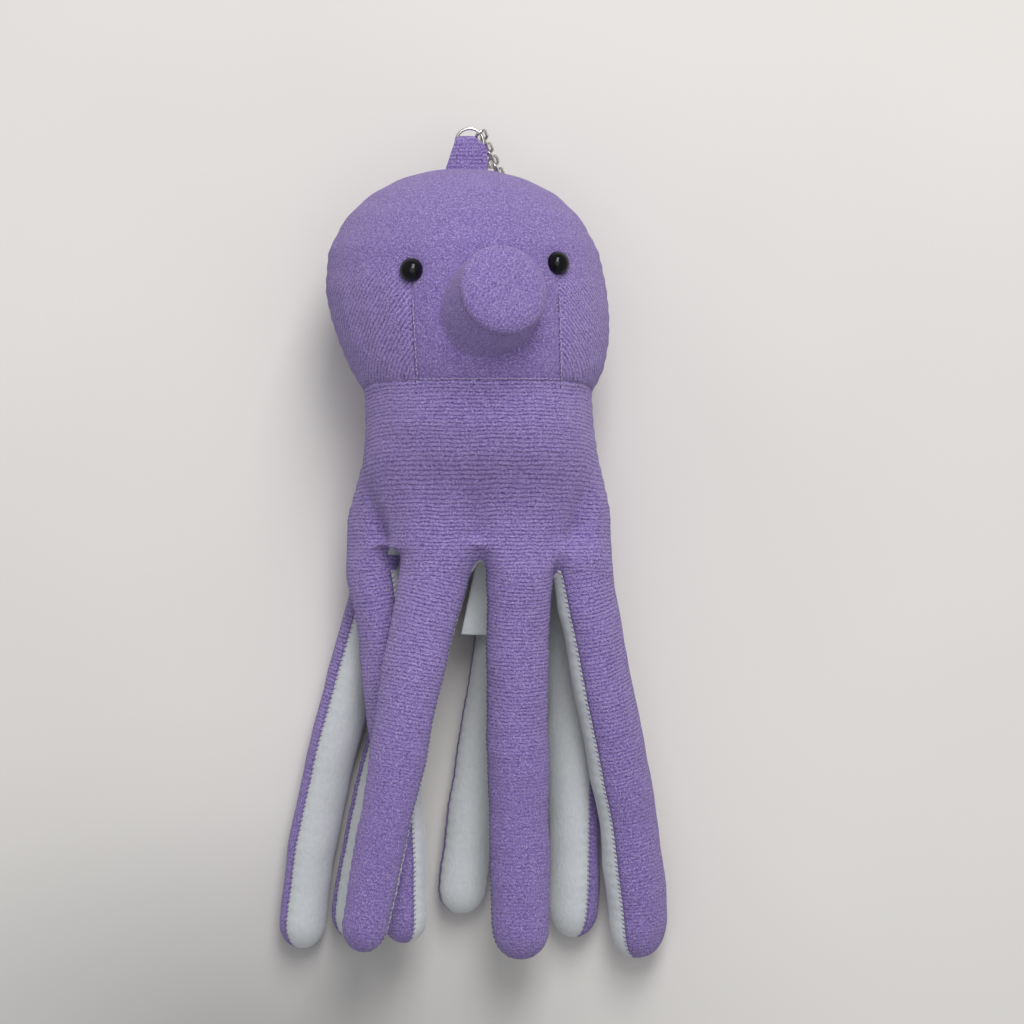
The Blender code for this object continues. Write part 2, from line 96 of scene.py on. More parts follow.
# Torso: its cloth grows out of the CAD's panels and the roots of the arms.
HEAD_PANELS = ("head_front_panel", "head_back_panel")
BODY_PANELS = ("body_front_panel", "body_back_panel")
TORSO_NODES = (*HEAD_PANELS, *BODY_PANELS, "underside_panel", "torso_stuffing")
NEAR_EDGE = 0.5         # corners this close to an edge of a CAD panel lie on it
VOXEL = 1.0
FILLET_PASSES = 22
HEAD_PASSES = 26
HEM_PASSES = 10
LAST_PASSES = 4
FLOOR_GAP = 0.05        # the torso's cloth clears the floor by this
STUB_RUN = (30.0, -5.6)     # an arm's root in the body runs between these heights over its hinge
STUB_STEP = 0.8
STUB_SIDES = 40
STUB_REACH = 16.0       # a step between body and root is filled over this length above the hinge
STUB_EASE = 0.6         # as far as it is higher than this
STUB_SINK = 4.5         # the root's upper end lies this deep under the body's cloth
STUB_LEAN = 7.0         # and leans this far towards the middle of the hem
STUB_WIDER = (1.8, -0.3)    # how much wider than the arm the root is, in the body and below it
STUB_THICKER = (0.3, 0.1)
HULL_RUN = 26.0         # over this length above the hem the body narrows to the arms' roots
HULL_EASE = 0.5
CROTCH_REACH = 21.0     # how far up the body the valleys between the arms run
CROTCH_DEPTH = 3.6
CROTCH_WIDTH = 3.4
RIM_SINK = 0.4          # the body's cloth sinks under an arm's below the rim
RIM_HEM = 3.5           # and ends this far below it
PANEL_SHARE = 0.70      # the white panel's share of the hem's width, in a section of this power
PANEL_POWER = 2.7

# Seams and unevenness of head and body.
HEAD_SEAM_Z = 33.0
NECK_RISE = 3.1         # how much higher the neck seam runs in front than at the sides
SEAM_DEPTH = 0.45
SEAM_WIDTH = 0.75
DARTS = {"left": ((-14.8, 67.5), (-13.8, 43.0)), "right": ((22.0, 68.5), (22.8, 42.0))}
DART_TOP = 67.0         # the knit of the cheeks turns along the darts, from here down
DART_RUN = 24.0
HEAD_ROUND = 34.0       # radius that turns angles round the head into lengths of cloth
FUZZY_FROM = 66.0       # the head's knit gets more brushed above this
HEAD_BRUSHED = (0.15, 0.95)     # at the cheeks and at the crown
FACE_BRUSHED = 0.88     # between the darts
BODY_BRUSHED = 0.10
WAIST = (1.5, 0.9)      # how far the body's left side draws in and its right side stands out
PUCKER = 0.10
EYE_DENT = 4.0
THREAD_WIDTH = 0.19
DART_STEP = 1.05        # from stitch to stitch
THREAD_SHARES = (0.0, 0.3, 0.6)
HOLE_SHARES = (0.0, 0.5, 1.0)

# Arms.
RING_GAP = 2.0          # the CAD's rings of corners lie further apart than this
ROW_STEP = 0.8
HALF_COLUMNS = 26
RIM = 4.5               # the body's cloth hands over to an arm's, this far above its hinge
UNDERLAP = 2.5          # how far an arm's skin runs on under the body's cloth
LAP = 0.04              # and how deep it lies under it
FOLLOW = 7.0            # over this length below the rim an arm eases to its own section
SEAM_PINCH = 0.055
SEAM_TURN = 0.8         # cloth turned in at a seam
TIP_LENGTH = 1.15       # in half-widths
ARM_GAP = 0.06          # an arm's cloth clears the floor by this
STITCH_STEP = 1.25
THREAD = 0.13
STITCH = ((0.26, -0.08), (0.15, 0.06), (0.0, 0.17), (-0.15, 0.06), (-0.26, -0.08))  # slant, lift
STITCH_TURNS = (-0.13, -0.06, 0.0, 0.06, 0.11)      # and how far round the arm from the seam
ARM_BRUSHED = (0.12, 0.85)      # at the root and at the tip

# Eyes and nose.
EYE_RADIUS = 3.0
EYE_STAND = 2.8         # how far an eye's dome stands over the cloth
EYE_SHANK = (0.9, 4.8)  # radius and length under the cloth
EYE_SIDES = 48
NOSE_SIDES = 96
NOSE_ROWS = 22
NOSE_SHIFT = np.array([0.6, 1.9, 0.0])      # the stuffed nose leans this much from the CAD's
NOSE_BASE_SHIFT = np.array([1.1, -0.8, 0.0])    # and its base stands this much beside its end
NOSE_TAPER = (1.3, 0.35)    # how much slimmer than the CAD's the wall is, at its base and rim
NOSE_FOOT = 4.0         # the face's cloth is looked for from this far over the nose's end
NOSE_DEEPER = 1.2       # and the wall goes on this deep under it
NOSE_END = ((0, 2.15), (2.5, 2.1), (5, 1.92), (6.8, 1.6), (8.2, 1.1), (9.3, 0.45), (10.1, -0.3),
            (10.6, -1.1), (10.75, -1.9), (10.6, -2.6), (10.1, -3.1), (9.3, -3.2))
NOSE_END_RADIUS = 10.3      # the crowned end as (radius, height), for a rim of this radius
NOSE_KNIT_TURN = math.radians(62)
NOSE_BRUSHED = (0.55, 0.75)     # on its wall and on its end

# Hanging loop, care label and chain.
LOOP_THICK = 0.8
LOOP_RISE = 1.3         # the soft loop stands this much above the CAD's
LOOP_ROWS = 18
LOOP_NARROW = 0.62      # its layers lie closer together at the crown
LOOP_SEWN_IN = 3.0
LOOP_STITCH_STEP = 1.35
LOOP_BRUSHED = 0.45
LABEL_THICK = 0.22
LABEL_GAP = 0.34        # half the distance between its layers
LABEL_ROWS = 30
LABEL_SEWN_IN = 4.0
LABEL_CUP = 0.9
LABEL_CURL = 1.7
LABEL_SLANT = 1.6
LINKS = 8


# ---------------------------------------------------------------- numbers and meshes

def smoothstep(value):
    value = np.clip(value, 0.0, 1.0)
    return value * value * (3 - 2 * value)


def rise(value, start, run):
    """Goes smoothly from 0 at start to 1 at start + run, which may lie below it."""
    return smoothstep((value - start) / run)


def mix(start, end, share):
    return start + (end - start) * share


def unit(vectors):
    return vectors / np.linalg.norm(vectors, axis=-1, keepdims=True)


def bell(distance, width):
    return np.exp(-(distance / width) ** 2)


def circle(sides):
    """Evenly spread angles of a full turn."""
    return np.arange(sides) * math.tau / sides


def lumps(points, size, seed=0):
    """Smooth unevenness from -1 to 1, with bumps of about the given size."""
    points = np.asarray(points, float)
    total = np.zeros(points.shape[:-1])
    count = 7
    for index in range(count):
        a = seed * 1.7 + index * 2.399
        b = seed * 0.9 + index * 1.137
        way = np.array([math.cos(a) * math.cos(b), math.sin(a) * math.cos(b), math.sin(b)])
        total += np.sin(points @ way * math.tau / (size * (1.3 + 0.23 * index)) + 1.9 * a)
    return total / math.sqrt(count) / 1.6


def mesh_parts(mesh):
    """A mesh's points in millimetres, and its faces."""
    return np.array([v.co for v in mesh.vertices]) / MM, [tuple(p.vertices) for p in mesh.polygons]


def tree_of(points, faces):
    return BVHTree.FromPolygons(points.tolist(), faces)


def corners(node):
    """The corners of a CAD node."""
    return mesh_parts(frame["nodes"][node].data)[0]


def joint_place(name):
    return next(np.array(j["pos_m"]) / MM for j in frame["joints"] if j["name"] == name)


def axes_of(node):
    """Centre of a CAD node and its own axes, from the longest to the shortest."""
    points = corners(node)
    _, _, axes = np.linalg.svd(points - points.mean(0), full_matrices=False)
    reach = (points - points.mean(0)) @ axes.T
    centre = points.mean(0) + (reach.max(0) + reach.min(0)) / 2 @ axes
    return centre, axes, (reach.max(0) - reach.min(0)) / 2


def grid_faces(rows, columns, first=0, closed=False):
    faces = []
    for row in range(rows - 1):
        for column in range(columns if closed else columns - 1):
            after = (column + 1) % columns
            near = first + row * columns
            far = near + columns
            faces.append((near + column, far + column, far + after, near + after))
    return faces


def capped_faces(rows, sides):
    """The faces of rings of points that make a tube with closed ends."""
    last = (rows - 1) * sides
    ends = [tuple(range(sides)), tuple(range(last, last + sides))[::-1]]
    return grid_faces(rows, sides, closed=True) + ends


def add_piece(name, points, faces, material, cloth=None):
    """A smooth mesh from points in millimetres; cloth is its wale, course and how brushed it is."""
    mesh = bpy.data.meshes.new(name)
    mesh.from_pydata((np.reshape(points, (-1, 3)) * MM).tolist(), [], faces)
    mesh.shade_smooth()
    if cloth is not None:
        layer = mesh.attributes.new("cloth", "FLOAT_VECTOR", "POINT")
        values = np.stack(np.broadcast_arrays(*cloth), -1)
        layer.data.foreach_set("vector", values.astype(np.float32).ravel())
    mesh.materials.append(material)
    piece = bpy.data.objects.new(name, mesh)
    bpy.context.scene.collection.objects.link(piece)
    return piece


def on_body(piece, body, slot, *nodes):
    """The piece moves with a body and stands for CAD nodes; slot is not used."""
    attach(piece, body)
    if nodes:
        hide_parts(*nodes)
    return piece


def add_stuffed(name, points, faces, look, slot, cloth, *nodes):
    """A padded piece of the torso."""
    piece = add_piece(name, points, faces, look, cloth)
    on_body(piece, "torso", slot, *nodes)
    return piece


def tube(path, radius, sides, closed=False, up=(0.0, 0.0, 1.0)):
    """Points and faces of a round wire or thread along a path."""
    path = np.asarray(path, float)
    if closed:
        along = np.roll(path, -1, 0) - np.roll(path, 1, 0)
    else:
        along = np.gradient(path, axis=0)
    along = unit(along)
    side = unit(np.cross(along, up) + 1e-9)
    over = np.cross(side, along)
    angles = circle(sides)
    ring = (side[:, None] * np.cos(angles)[None, :, None]
            + over[:, None] * np.sin(angles)[None, :, None])
    points = (path[:, None] + ring * np.reshape(radius, (-1, 1, 1))).reshape(-1, 3)
    if not closed:
        return points, capped_faces(len(path), sides)
    last = (len(path) - 1) * sides
    faces = [(last + k, k, (k + 1) % sides, last + (k + 1) % sides) for k in range(sides)]
    return points, grid_faces(len(path), sides, closed=True) + faces


def gather(parts):
    """Several (points, faces) as one."""
    points, faces, first = [], [], 0
    for part_points, part_faces in parts:
        points.append(part_points)
        faces.extend(tuple(first + k for k in face) for face in part_faces)
        first += len(part_points)
    return np.vstack(points), faces


def evaluated(piece):
    """Points and faces of a piece with its modifiers on; the piece is removed."""
    graph = bpy.context.evaluated_depsgraph_get()
    mesh = bpy.data.meshes.new_from_object(piece.evaluated_get(graph))
    parts = mesh_parts(mesh)
    bpy.data.objects.remove(piece)
    bpy.data.meshes.remove(mesh)
    return parts


def neighbours(faces):
    edges = {tuple(sorted((a, b))) for f in faces for a, b in zip(f, f[1:] + f[:1])}
    return np.array(sorted(edges))


def relax(points, edges, passes, weight=1.0, hold=0.53):
    """Smooths a mesh; hold is how much of the shrinking each second step undoes."""
    count = len(points)
    degree = np.bincount(edges.ravel(), minlength=count)[:, None]
    weight = np.broadcast_to(np.reshape(weight, (-1, 1)), (count, 1))
    for step in range(passes * 2):
        total = np.zeros_like(points)
        for axis in range(3):
            total[:, axis] = np.bincount(edges[:, 0], points[edges[:, 1], axis], count) \
                + np.bincount(edges[:, 1], points[edges[:, 0], axis], count)
        pull = 0.55 if step % 2 == 0 else -hold
        points = points + weight * pull * (total / degree - points)
    return points


def normals_of(points, faces):
    mesh = bpy.data.meshes.new("normals")
    mesh.from_pydata(points.tolist(), [], faces)
    found = np.zeros(len(points) * 3)
    mesh.vertex_normals.foreach_get("vector", found)
    bpy.data.meshes.remove(mesh)
    return found.reshape(-1, 3)


def largest_island(points, faces):
    """Drops pockets that are closed off inside a solid."""
    owner = list(range(len(points)))

    def find(k):
        while owner[k] != k:
            owner[k] = owner[owner[k]]
            k = owner[k]
        return k

    for face in faces:
        for k in face[1:]:
            owner[find(k)] = find(face[0])
    roots = np.array([find(k) for k in range(len(points))])
    names, sizes = np.unique(roots, return_counts=True)
    return keep_points(points, faces, roots == names[sizes.argmax()])


def keep_points(points, faces, keep):
    number = np.cumsum(keep) - 1
    return points[keep], [tuple(int(number[k]) for k in f) for f in faces if keep[list(f)].all()]


def split_along(points, faces, field):
    """Cuts a mesh where field is zero, and returns the part above and the part below."""
    points = list(points)
    value = list(field)
    made = {}
    above, below = [], []

    def crossing(a, b):
        key = (min(a, b), max(a, b))
        if key not in made:
            share = value[a] / (value[a] - value[b])
            points.append(mix(points[a], points[b], share))
            value.append(0.0)
            made[key] = len(points) - 1
        return made[key]

    for face in faces:
        up, down = [], []
        for a, b in zip(face, face[1:] + face[:1]):
            (up if value[a] >= 0 else down).append(a)
            if (value[a] >= 0) != (value[b] >= 0):
                middle = crossing(a, b)
                up.append(middle)
                down.append(middle)
        if up:
            above.append(tuple(up))
        if down:
            below.append(tuple(down))
    points = np.array(points)
    parts = []
    for some in (above, below):
        used = np.zeros(len(points), bool)
        used[[k for f in some for k in f]] = True
        parts.append(keep_points(points, some, used))
    return parts


# ---------------------------------------------------------------- materials

class Nodes:
    """Short names for building a material's node tree."""

    def __init__(self, name):
        self.material = bpy.data.materials.new(name)
        self.material.use_nodes = True
        self.tree = self.material.node_tree
        self.shader = self.tree.nodes["Principled BSDF"]

    def add(self, kind, settings=None, **inputs):
        node = self.tree.nodes.new("ShaderNode" + kind)
        for key, value in (settings or {}).items():
            setattr(node, key, value)
        for key, value in inputs.items():
            self.feed(node.inputs[int(key[1:]) if key[0] == "_" else key.replace("_", " ")], value)
        return node

    def feed(self, socket, value):
        if isinstance(value, bpy.types.NodeSocket):
            self.tree.links.new(value, socket)
        elif isinstance(value, bpy.types.Node):
            self.tree.links.new(value.outputs[0], socket)
        else:
            socket.default_value = value

    def math(self, operation, a, b=0.0, clamp=False):
        return self.add("Math", {"operation": operation, "use_clamp": clamp}, _0=a, _1=b).outputs[0]

    def plus(self, a, b, clamp=False):
        return self.math("ADD", a, b, clamp)

    def minus(self, a, b):
        return self.math("SUBTRACT", a, b)

    def times(self, a, b):
        return self.math("MULTIPLY", a, b)

    def noise(self, vector, size, detail=2.0, roughness=0.5):
        """Noise whose bumps are about size across, for a vector in millimetres."""
        return self.add("TexNoise", Vector=vector, Scale=1.0 / size, Detail=detail,
                        Roughness=roughness).outputs["Fac"]

    def ramp(self, value, stops):
        node = self.add("ValToRGB", Fac=value)
        ramp = node.color_ramp
        while len(ramp.elements) < len(stops):
            ramp.elements.new(0.5)
        for element, (place, colour) in zip(ramp.elements, stops):
            element.position = place
            element.color = (*colour, 1.0) if len(colour) == 3 else colour
        return node.outputs["Color"]

    def blend(self, share, a, b):
        return self.add("Mix", {"data_type": "RGBA"}, _0=share, _6=a, _7=(*b, 1.0)).outputs[2]

    def millimetres(self):
        place = self.add("TexCoord").outputs["Object"]
        scaled = self.add("VectorMath", {"operation": "SCALE"}, _0=place)
        scaled.inputs["Scale"].default_value = 1 / MM
        return scaled.outputs[0]

    def bump(self, height, depth, strength=1.0):
        bump = self.add("Bump", Height=height, Distance=depth * MM, Strength=strength)
        self.tree.links.new(bump.outputs[0], self.shader.inputs["Normal"])

    def set(self, **values):
        for key, value in values.items():
            self.feed(self.shader.inputs[key.replace("_", " ")], value)


def knit_material():
    """Brushed lurex knit: rows across, short fuzz, and the glints of its tiny metallic fibres painted
    in as bright specks.
    """
    n = Nodes("purple_knit")
    place = n.millimetres()
    cloth = n.add("Attribute", {"attribute_name": "cloth"}).outputs["Vector"]
    wale, course, brushed = n.add("SeparateXYZ", Vector=cloth).outputs

    # The rows sway over the cloth and wobble from loop to loop.
    shifted = n.plus(course, n.times(n.minus(n.noise(place, 9.0, 1.0), 0.5), 1.2))
    shifted = n.plus(shifted, n.times(n.minus(n.noise(place, 1.3), 0.5), 0.65))
    row = n.plus(n.times(n.math("SINE", n.times(shifted, math.tau / COURSE)), 0.5), 0.5)

    # Between the rows the loops of yarn open and close in short dark dashes.
    number = n.math("FLOOR", n.times(shifted, 1 / COURSE))
    dashes = n.noise(n.add("CombineXYZ", X=wale, Y=n.times(number, 5.3), Z=0.0), 0.42, 2.0, 0.7)
    open_loop = n.ramp(dashes, [(0.40, (0.10, 0.10, 0.10)), (0.54, (1, 1, 1))])
    plain = n.minus(1.0, n.times(brushed, 0.95))
    patch = n.plus(n.times(n.noise(place, 4.0), 2.2), -0.10, True)
    gap = n.math("POWER", n.minus(1.0, row), 3.2)
    dark = n.times(n.times(gap, open_loop), n.times(plain, patch))

    # Single fibres and tufts of them. The brushed knit is darker, partly for colour it has lost and
    # partly as painted shade on the crown and the arms' tips, where it is most brushed.
    height = n.times(n.noise(place, 0.24, 1.0, 0.6), 1.05)
    height = n.plus(height, n.times(n.noise(place, 0.60), 0.75))
    height = n.plus(height, n.times(n.times(row, plain), 0.06))
    height = n.plus(height, n.times(dark, -0.42))
    height = n.minus(height, n.plus(n.times(brushed, 0.105), 0.350))
    colour = n.ramp(height, [(0.12, KNIT_DARK), (0.48, KNIT_MIDDLE), (0.76, KNIT_LIGHT)])

    # Painted glints: the sparkle of the lurex fibres, as bright specks in the base colour.
    painted_glint = n.ramp(n.noise(place, 0.30, 1.0), [(0.62, (0, 0, 0)), (0.70, (1, 1, 1))])
    shine = n.plus(n.times(brushed, 0.06), 0.50)
    colour = n.blend(n.times(painted_glint, shine), colour, KNIT_PAINTED_GLINT)
    # Broad random patches of worn colour, and painted shade where the knit is more brushed.
    worn_and_shaded = n.plus(n.times(n.noise(place, 26.0), 0.20), n.times(brushed, 0.10))
    colour = n.blend(worn_and_shaded, colour, KNIT_WORN_AND_SHADED)
    n.set(Base_Color=colour, Roughness=0.88, Sheen_Weight=0.26, Sheen_Roughness=0.42,
          Sheen_Tint=(0.86, 0.81, 0.97, 1.0), Specular_IOR_Level=0.22)
    n.bump(height, 0.36)
    return n.material


def fleece_material():
    """Short white pile that lies in small tufts."""
    n = Nodes("white_fleece")
    place = n.millimetres()
    stretched = n.add("Mapping", Vector=place, Scale=(1.0, 0.55, 1.0))
    tuft = n.noise(stretched, 0.75, 3.0, 0.6)
    height = n.plus(n.times(tuft, 0.65), n.times(n.noise(place, 0.30, 2.0, 0.7), 0.35))
    colour = n.ramp(height, [(0.30, FLEECE_SHADE), (0.62, FLEECE_COLOUR)])
    colour = n.blend(n.times(n.noise(place, 14.0), 0.25), colour, FLEECE_SHADE)
    n.set(Base_Color=colour, Roughness=0.9, Sheen_Weight=0.5, Sheen_Roughness=0.5,
          Sheen_Tint=(0.95, 0.97, 1.0, 1.0), Specular_IOR_Level=0.2)
    n.bump(height, 0.30, 0.8)
    return n.material


def thread_material(name, dark, light):
    """Twisted sewing thread; also the near-black tubes painted as the shade in needle holes."""
    n = Nodes(name)
    ply = n.noise(n.millimetres(), 0.25)
    n.set(Base_Color=n.ramp(ply, [(0.3, dark), (0.7, light)]), Roughness=0.65, Sheen_Weight=0.2)
    n.bump(ply, 0.05)
    return n.material


def plastic_material(name, colour, roughness, shine):
    """Moulded plastic with a faint haze."""
    n = Nodes(name)
    haze = n.noise(n.millimetres(), 1.5, 3.0)
    lighter = tuple(min(c * 1.6 + 0.002, 1.0) for c in colour)
    n.set(Base_Color=n.ramp(haze, [(0.35, colour), (0.75, lighter)]),
          Roughness=n.plus(n.times(haze, 0.05), roughness), Specular_IOR_Level=shine)
    return n.material


def steel_material():
    """Nickel plating with fine wear and a little tarnish."""
    n = Nodes("plated_steel")
    place = n.millimetres()
    wear = n.noise(n.add("Mapping", Vector=place, Scale=(3.0, 0.6, 1.0)), 0.35, 3.0)
    tarnish = n.ramp(n.noise(place, 2.2), [(0.35, (0.50, 0.48, 0.44)), (0.65, (0.80, 0.79, 0.76))])
    n.set(Base_Color=tarnish, Metallic=1.0, Roughness=n.plus(n.times(wear, 0.22), 0.12))
    n.bump(wear, 0.02, 0.5)
    return n.material


def satin_material():
    """Smooth woven ribbon with a soft lengthwise shine."""
    n = Nodes("white_satin")
    cloth = n.add("Attribute", {"attribute_name": "cloth"}).outputs["Vector"]
    weave = n.noise(n.add("Mapping", Vector=cloth, Scale=(7.0, 0.8, 1.0)), 1.0)
    n.set(Base_Color=n.ramp(weave, [(0.3, (0.70, 0.73, 0.76)), (0.7, (0.84, 0.86, 0.88))]),
          Roughness=n.plus(n.times(weave, 0.15), 0.28), Sheen_Weight=0.2, Specular_IOR_Level=0.6)
    n.bump(weave, 0.04, 0.6)
    return n.material


def floor_material():
    """Pale cloth with a broad soft shadow painted across its lower left."""
    n = Nodes("pale_backdrop")
    place = n.millimetres()
    colour = n.ramp(n.noise(place, 160.0), [(0.3, (0.735, 0.705, 0.672)), (0.7, (0.775, 0.745, 0.712))])
    # Painted shadow: the colour darkens towards the middle of an ellipse at the lower left.
    scale = [1 / radius for radius in PAINTED_SHADE_RADIUS]
    shift = [-centre * size for centre, size in zip(PAINTED_SHADE_CENTRE, scale)]
    painted_shade_place = n.add("Mapping", Vector=place, Location=(*shift, 0.0), Scale=(*scale, 0.0))
    reach = n.add("VectorMath", {"operation": "LENGTH"}, _0=painted_shade_place).outputs["Value"]
    dark = n.ramp(reach, [(0.0, (0.62, 0.62, 0.62)), (1.1 / 1.5, (0.08, 0.08, 0.08)),
                          (1.0, (0, 0, 0))])
    colour = n.blend(dark, colour, (0.20, 0.20, 0.205))
    n.set(Base_Color=colour, Roughness=0.95, Specular_IOR_Level=0.2)
    n.bump(n.noise(place, 0.5), 0.05, 0.4)
    return n.material


# ---------------------------------------------------------------- arms

class Arm:
    """The run and cross-section of one arm, measured from its CAD faces."""

    def __init__(self, name):
        self.name = name
        self.hinge = joint_place(f"arm_{name}_root")
        knit, fleece = (corners(f"arm_{name}_{kind}_face") for kind in ("knit", "fleece"))
        both = np.vstack([knit, fleece])
        rings = self.rings(both)
        centres = np.array([(ring.max(0) + ring.min(0)) / 2 for ring in rings])
        self.run = [np.polyfit(centres[:, 1], centres[:, axis], 3) for axis in (0, 2)]
        self.toward = [np.polyfit(knit[:, 1], knit[:, axis], 1)
                       - np.polyfit(fleece[:, 1], fleece[:, axis], 1) for axis in (0, 2)]
        self.tip = both[:, 1].min()
        _, _, face, across = self.at(centres[:, 1])
        girth = np.array([[np.ptp(ring @ way) / 2 for way in (w, f)]
                          for ring, w, f in zip(rings, across, face)])
        # The rings at the rounded tip and in the body don't show the arm's own width.
        tip_end = self.tip + girth[:, 0].max() * 0.8
        inner = (centres[:, 1] < self.hinge[1] + 1) & (centres[:, 1] > tip_end)
        taper = [np.polyfit(centres[inner, 1], girth[inner, k], 1) for k in (0, 1)]
        ends = (self.hinge[1], self.tip + girth[inner, 0].min() * TIP_LENGTH)
        self.wide, self.thick = ([np.polyval(line, y) for y in ends] for line in taper)
        self.cap = self.tip + self.wide[1] * TIP_LENGTH
        self.rim = self.hinge[1] + RIM
        self.top = self.rim + UNDERLAP
        self.body_cloth = None

    def rings(self, both):
        """The corners of the arm in rings, which the CAD places well apart along it."""
        run = (both - self.hinge) @ unit(both[both[:, 1].argmin()] - self.hinge)
        order = np.argsort(run)
        return np.split(both[order], np.nonzero(np.diff(run[order]) > RING_GAP)[0] + 1)

    def at(self, y):
        """Centre, tangent towards the tip, direction of the knit face and direction across."""
        y = np.asarray(y, float)
        held = np.minimum(y, self.hinge[1])
        centre, slope, toward = [], [], []
        for run, way in zip(self.run, self.toward):
            slope.append(np.polyval(np.polyder(run), held))
            centre.append(np.polyval(run, held) + slope[-1] * (y - held))
            toward.append(np.polyval(way, held))
        middle = np.stack([centre[0], y, centre[1]], -1)
        along = unit(-np.stack([slope[0], np.ones_like(y), slope[1]], -1))
        face = np.stack([toward[0], np.zeros_like(y), toward[1]], -1)
        face = unit(face - along * (face * along).sum(-1, keepdims=True))
        return middle, along, face, np.cross(face, along)

    def stations(self, top):
        """Y of each ring's middle, its distance ahead of the middle and its size, to the tip."""
        straight = np.arange(top, self.cap, -ROW_STEP)
        cap = self.wide[1] * TIP_LENGTH
        turns = np.linspace(0, math.pi / 2, 13)
        y = np.concatenate([straight, np.full(len(turns), self.cap)])
        ahead = np.concatenate([np.zeros(len(straight)), cap * np.sin(turns)])
        size = np.concatenate([np.ones(len(straight)), np.cos(turns) ** 0.92])
        size[-1] = 0.02
        return y, ahead, size

    def surface(self, angles, shape):
        """Rings of points at the given angles from the knit face, with distance and girth."""
        y, ahead, size = self.stations(self.top)
        middle, along, face, across = self.at(y)
        middle = middle + along * ahead[:, None]
        share = np.clip((self.hinge[1] - y) / (self.hinge[1] - self.cap), 0, 1)[:, None]
        a = np.asarray(angles)[None, :]
        wide, thick = mix(*self.wide, share), mix(*self.thick, share)
        spokes = (across[:, None] * (wide * np.sin(a))[..., None]
                  + face[:, None] * (thick * np.cos(a))[..., None])
        nominal = np.linalg.norm(spokes, axis=-1)
        spokes = spokes / nominal[..., None]
        radius = nominal + shape(y - ahead, a)
        follow = rise(y, self.rim - FOLLOW, FOLLOW)
        for row in np.nonzero(follow)[0]:
            for column in range(len(angles)):
                hit = self.body_cloth.ray_cast(Vector(middle[row]), Vector(spokes[row, column]))
                reach = hit[3] - LAP if hit[3] else nominal[row, column]
                if reach < nominal[row, column] * 1.15:
                    radius[row, column] = mix(radius[row, column], reach, follow[row])
        points = middle[:, None] + spokes * (radius * size[:, None])[..., None]
        reach = np.broadcast_to(((self.hinge[1] - y) + ahead)[:, None], radius.shape)
        return points, reach, a * wide, middle


def arm_relief(arm, seed):
    """How the cloth of an arm swells and pulls in: at the seams, between stitches, in lumps."""
    def relief(run, angle):
        run = run[:, None]
        from_seam = np.abs(np.abs(np.mod(angle + math.pi, math.tau) - math.pi) - math.pi / 2)
        pinch = SEAM_PINCH * arm.wide[0] * bell(from_seam, 0.24)
        pucker = PUCKER * np.sin(run * math.tau / 3.1 + seed) * bell(from_seam - 0.25, 0.28)
        around = np.stack(np.broadcast_arrays(8 * np.cos(angle), 8 * np.sin(angle), run), -1)
        stuffed = 0.34 * lumps(around, 14, seed) + 0.12 * lumps(around, 5, seed + 3)
        return rise(run, arm.rim, -12.0) * (pucker + stuffed - pinch)
    return relief


def stub_proud(arm, y, body):
    """How much an arm's root stands out sideways and outwards; above it fairs into the body."""
    above = y - arm.hinge[1]
    free = rise(above, 11.5, -9.0)
    sink = STUB_SINK * rise(above, 10, 22)
    middle, _, face, _ = arm.at(arm.hinge[1] + STUB_REACH)
    reach = body.ray_cast(Vector(middle), Vector(face))[3] or 0.0
    step = max(reach - arm.thick[0] - STUB_EASE, 0.0) * rise(above, -1, STUB_REACH + 1)
    return mix(*STUB_WIDER, free) - sink, mix(*STUB_THICKER, free) - sink + step


def stub_solid(arm, body):
    """A closed solid of an arm's root, to be joined with the body."""
    y = np.arange(*(arm.hinge[1] + end for end in STUB_RUN), -STUB_STEP)
    middle, _, face, across = arm.at(y)
    core = np.array([torso.x, arm.hinge[1], torso.hem_z]) - arm.hinge
    middle = middle + unit(core) * STUB_LEAN * rise(y, arm.hinge[1] + 7, 24)[:, None]
    angles = circle(STUB_SIDES)
    sine, cosine = np.sin(angles)[None, :], np.cos(angles)[None, :]
    sideways, outwards = stub_proud(arm, y, body)
    wide = (arm.wide[0] + sideways)[:, None] * sine
    thick = (arm.thick[0] + np.where(cosine > 0, outwards[:, None], 0.0)) * cosine
    points = middle[:, None] + across[:, None] * wide[..., None] + face[:, None] * thick[..., None]
    return points.reshape(-1, 3), capped_faces(len(y), STUB_SIDES)


def make_arm(arm, looks, seed):
    """The knit face, the fleece face and the stitches between them."""
    relief = arm_relief(arm, seed)
    for kind, first in (("knit", -math.pi / 2), ("fleece", math.pi / 2)):
        angles = first + math.pi * np.linspace(0, 1, HALF_COLUMNS)
        points, reach, girth, middle = arm.surface(angles, relief)
        # The cut edges turn in at the seam.
        inward = SEAM_TURN / arm.wide[1]
        edges = [mix(points[:, k], middle, inward)[:, None] for k in (0, -1)]
        points = np.concatenate([edges[0], points, edges[1]], 1)
        points[..., 2] = np.maximum(points[..., 2], ARM_GAP)
        wale, course = (np.pad(part, ((0, 0), (1, 1)), "edge")
                        for part in (girth, arm.hinge[1] - reach - torso.neck))
        # Towards the tip the knit gets more brushed, and so darker: partly worn colour, partly painted
        # shade.
        worn_and_shaded = rise(reach[:, :1], 22, 40) * (0.75 + 0.25 * np.sin(seed * 2.1))
        piece = add_piece(f"arm_{arm.name}_{kind}", points, grid_faces(*points.shape[:2]),
                          looks[kind], (wale, course, mix(*ARM_BRUSHED, worn_and_shaded)))
        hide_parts(f"arm_{arm.name}_{kind}_face")
        bend_at_root(piece)
    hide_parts(f"arm_{arm.name}_stuffing")
    stitches = make_arm_stitches(arm, relief, looks["thread"])
    bend_at_root(stitches)


def bend_at_root(piece):
    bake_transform(piece)


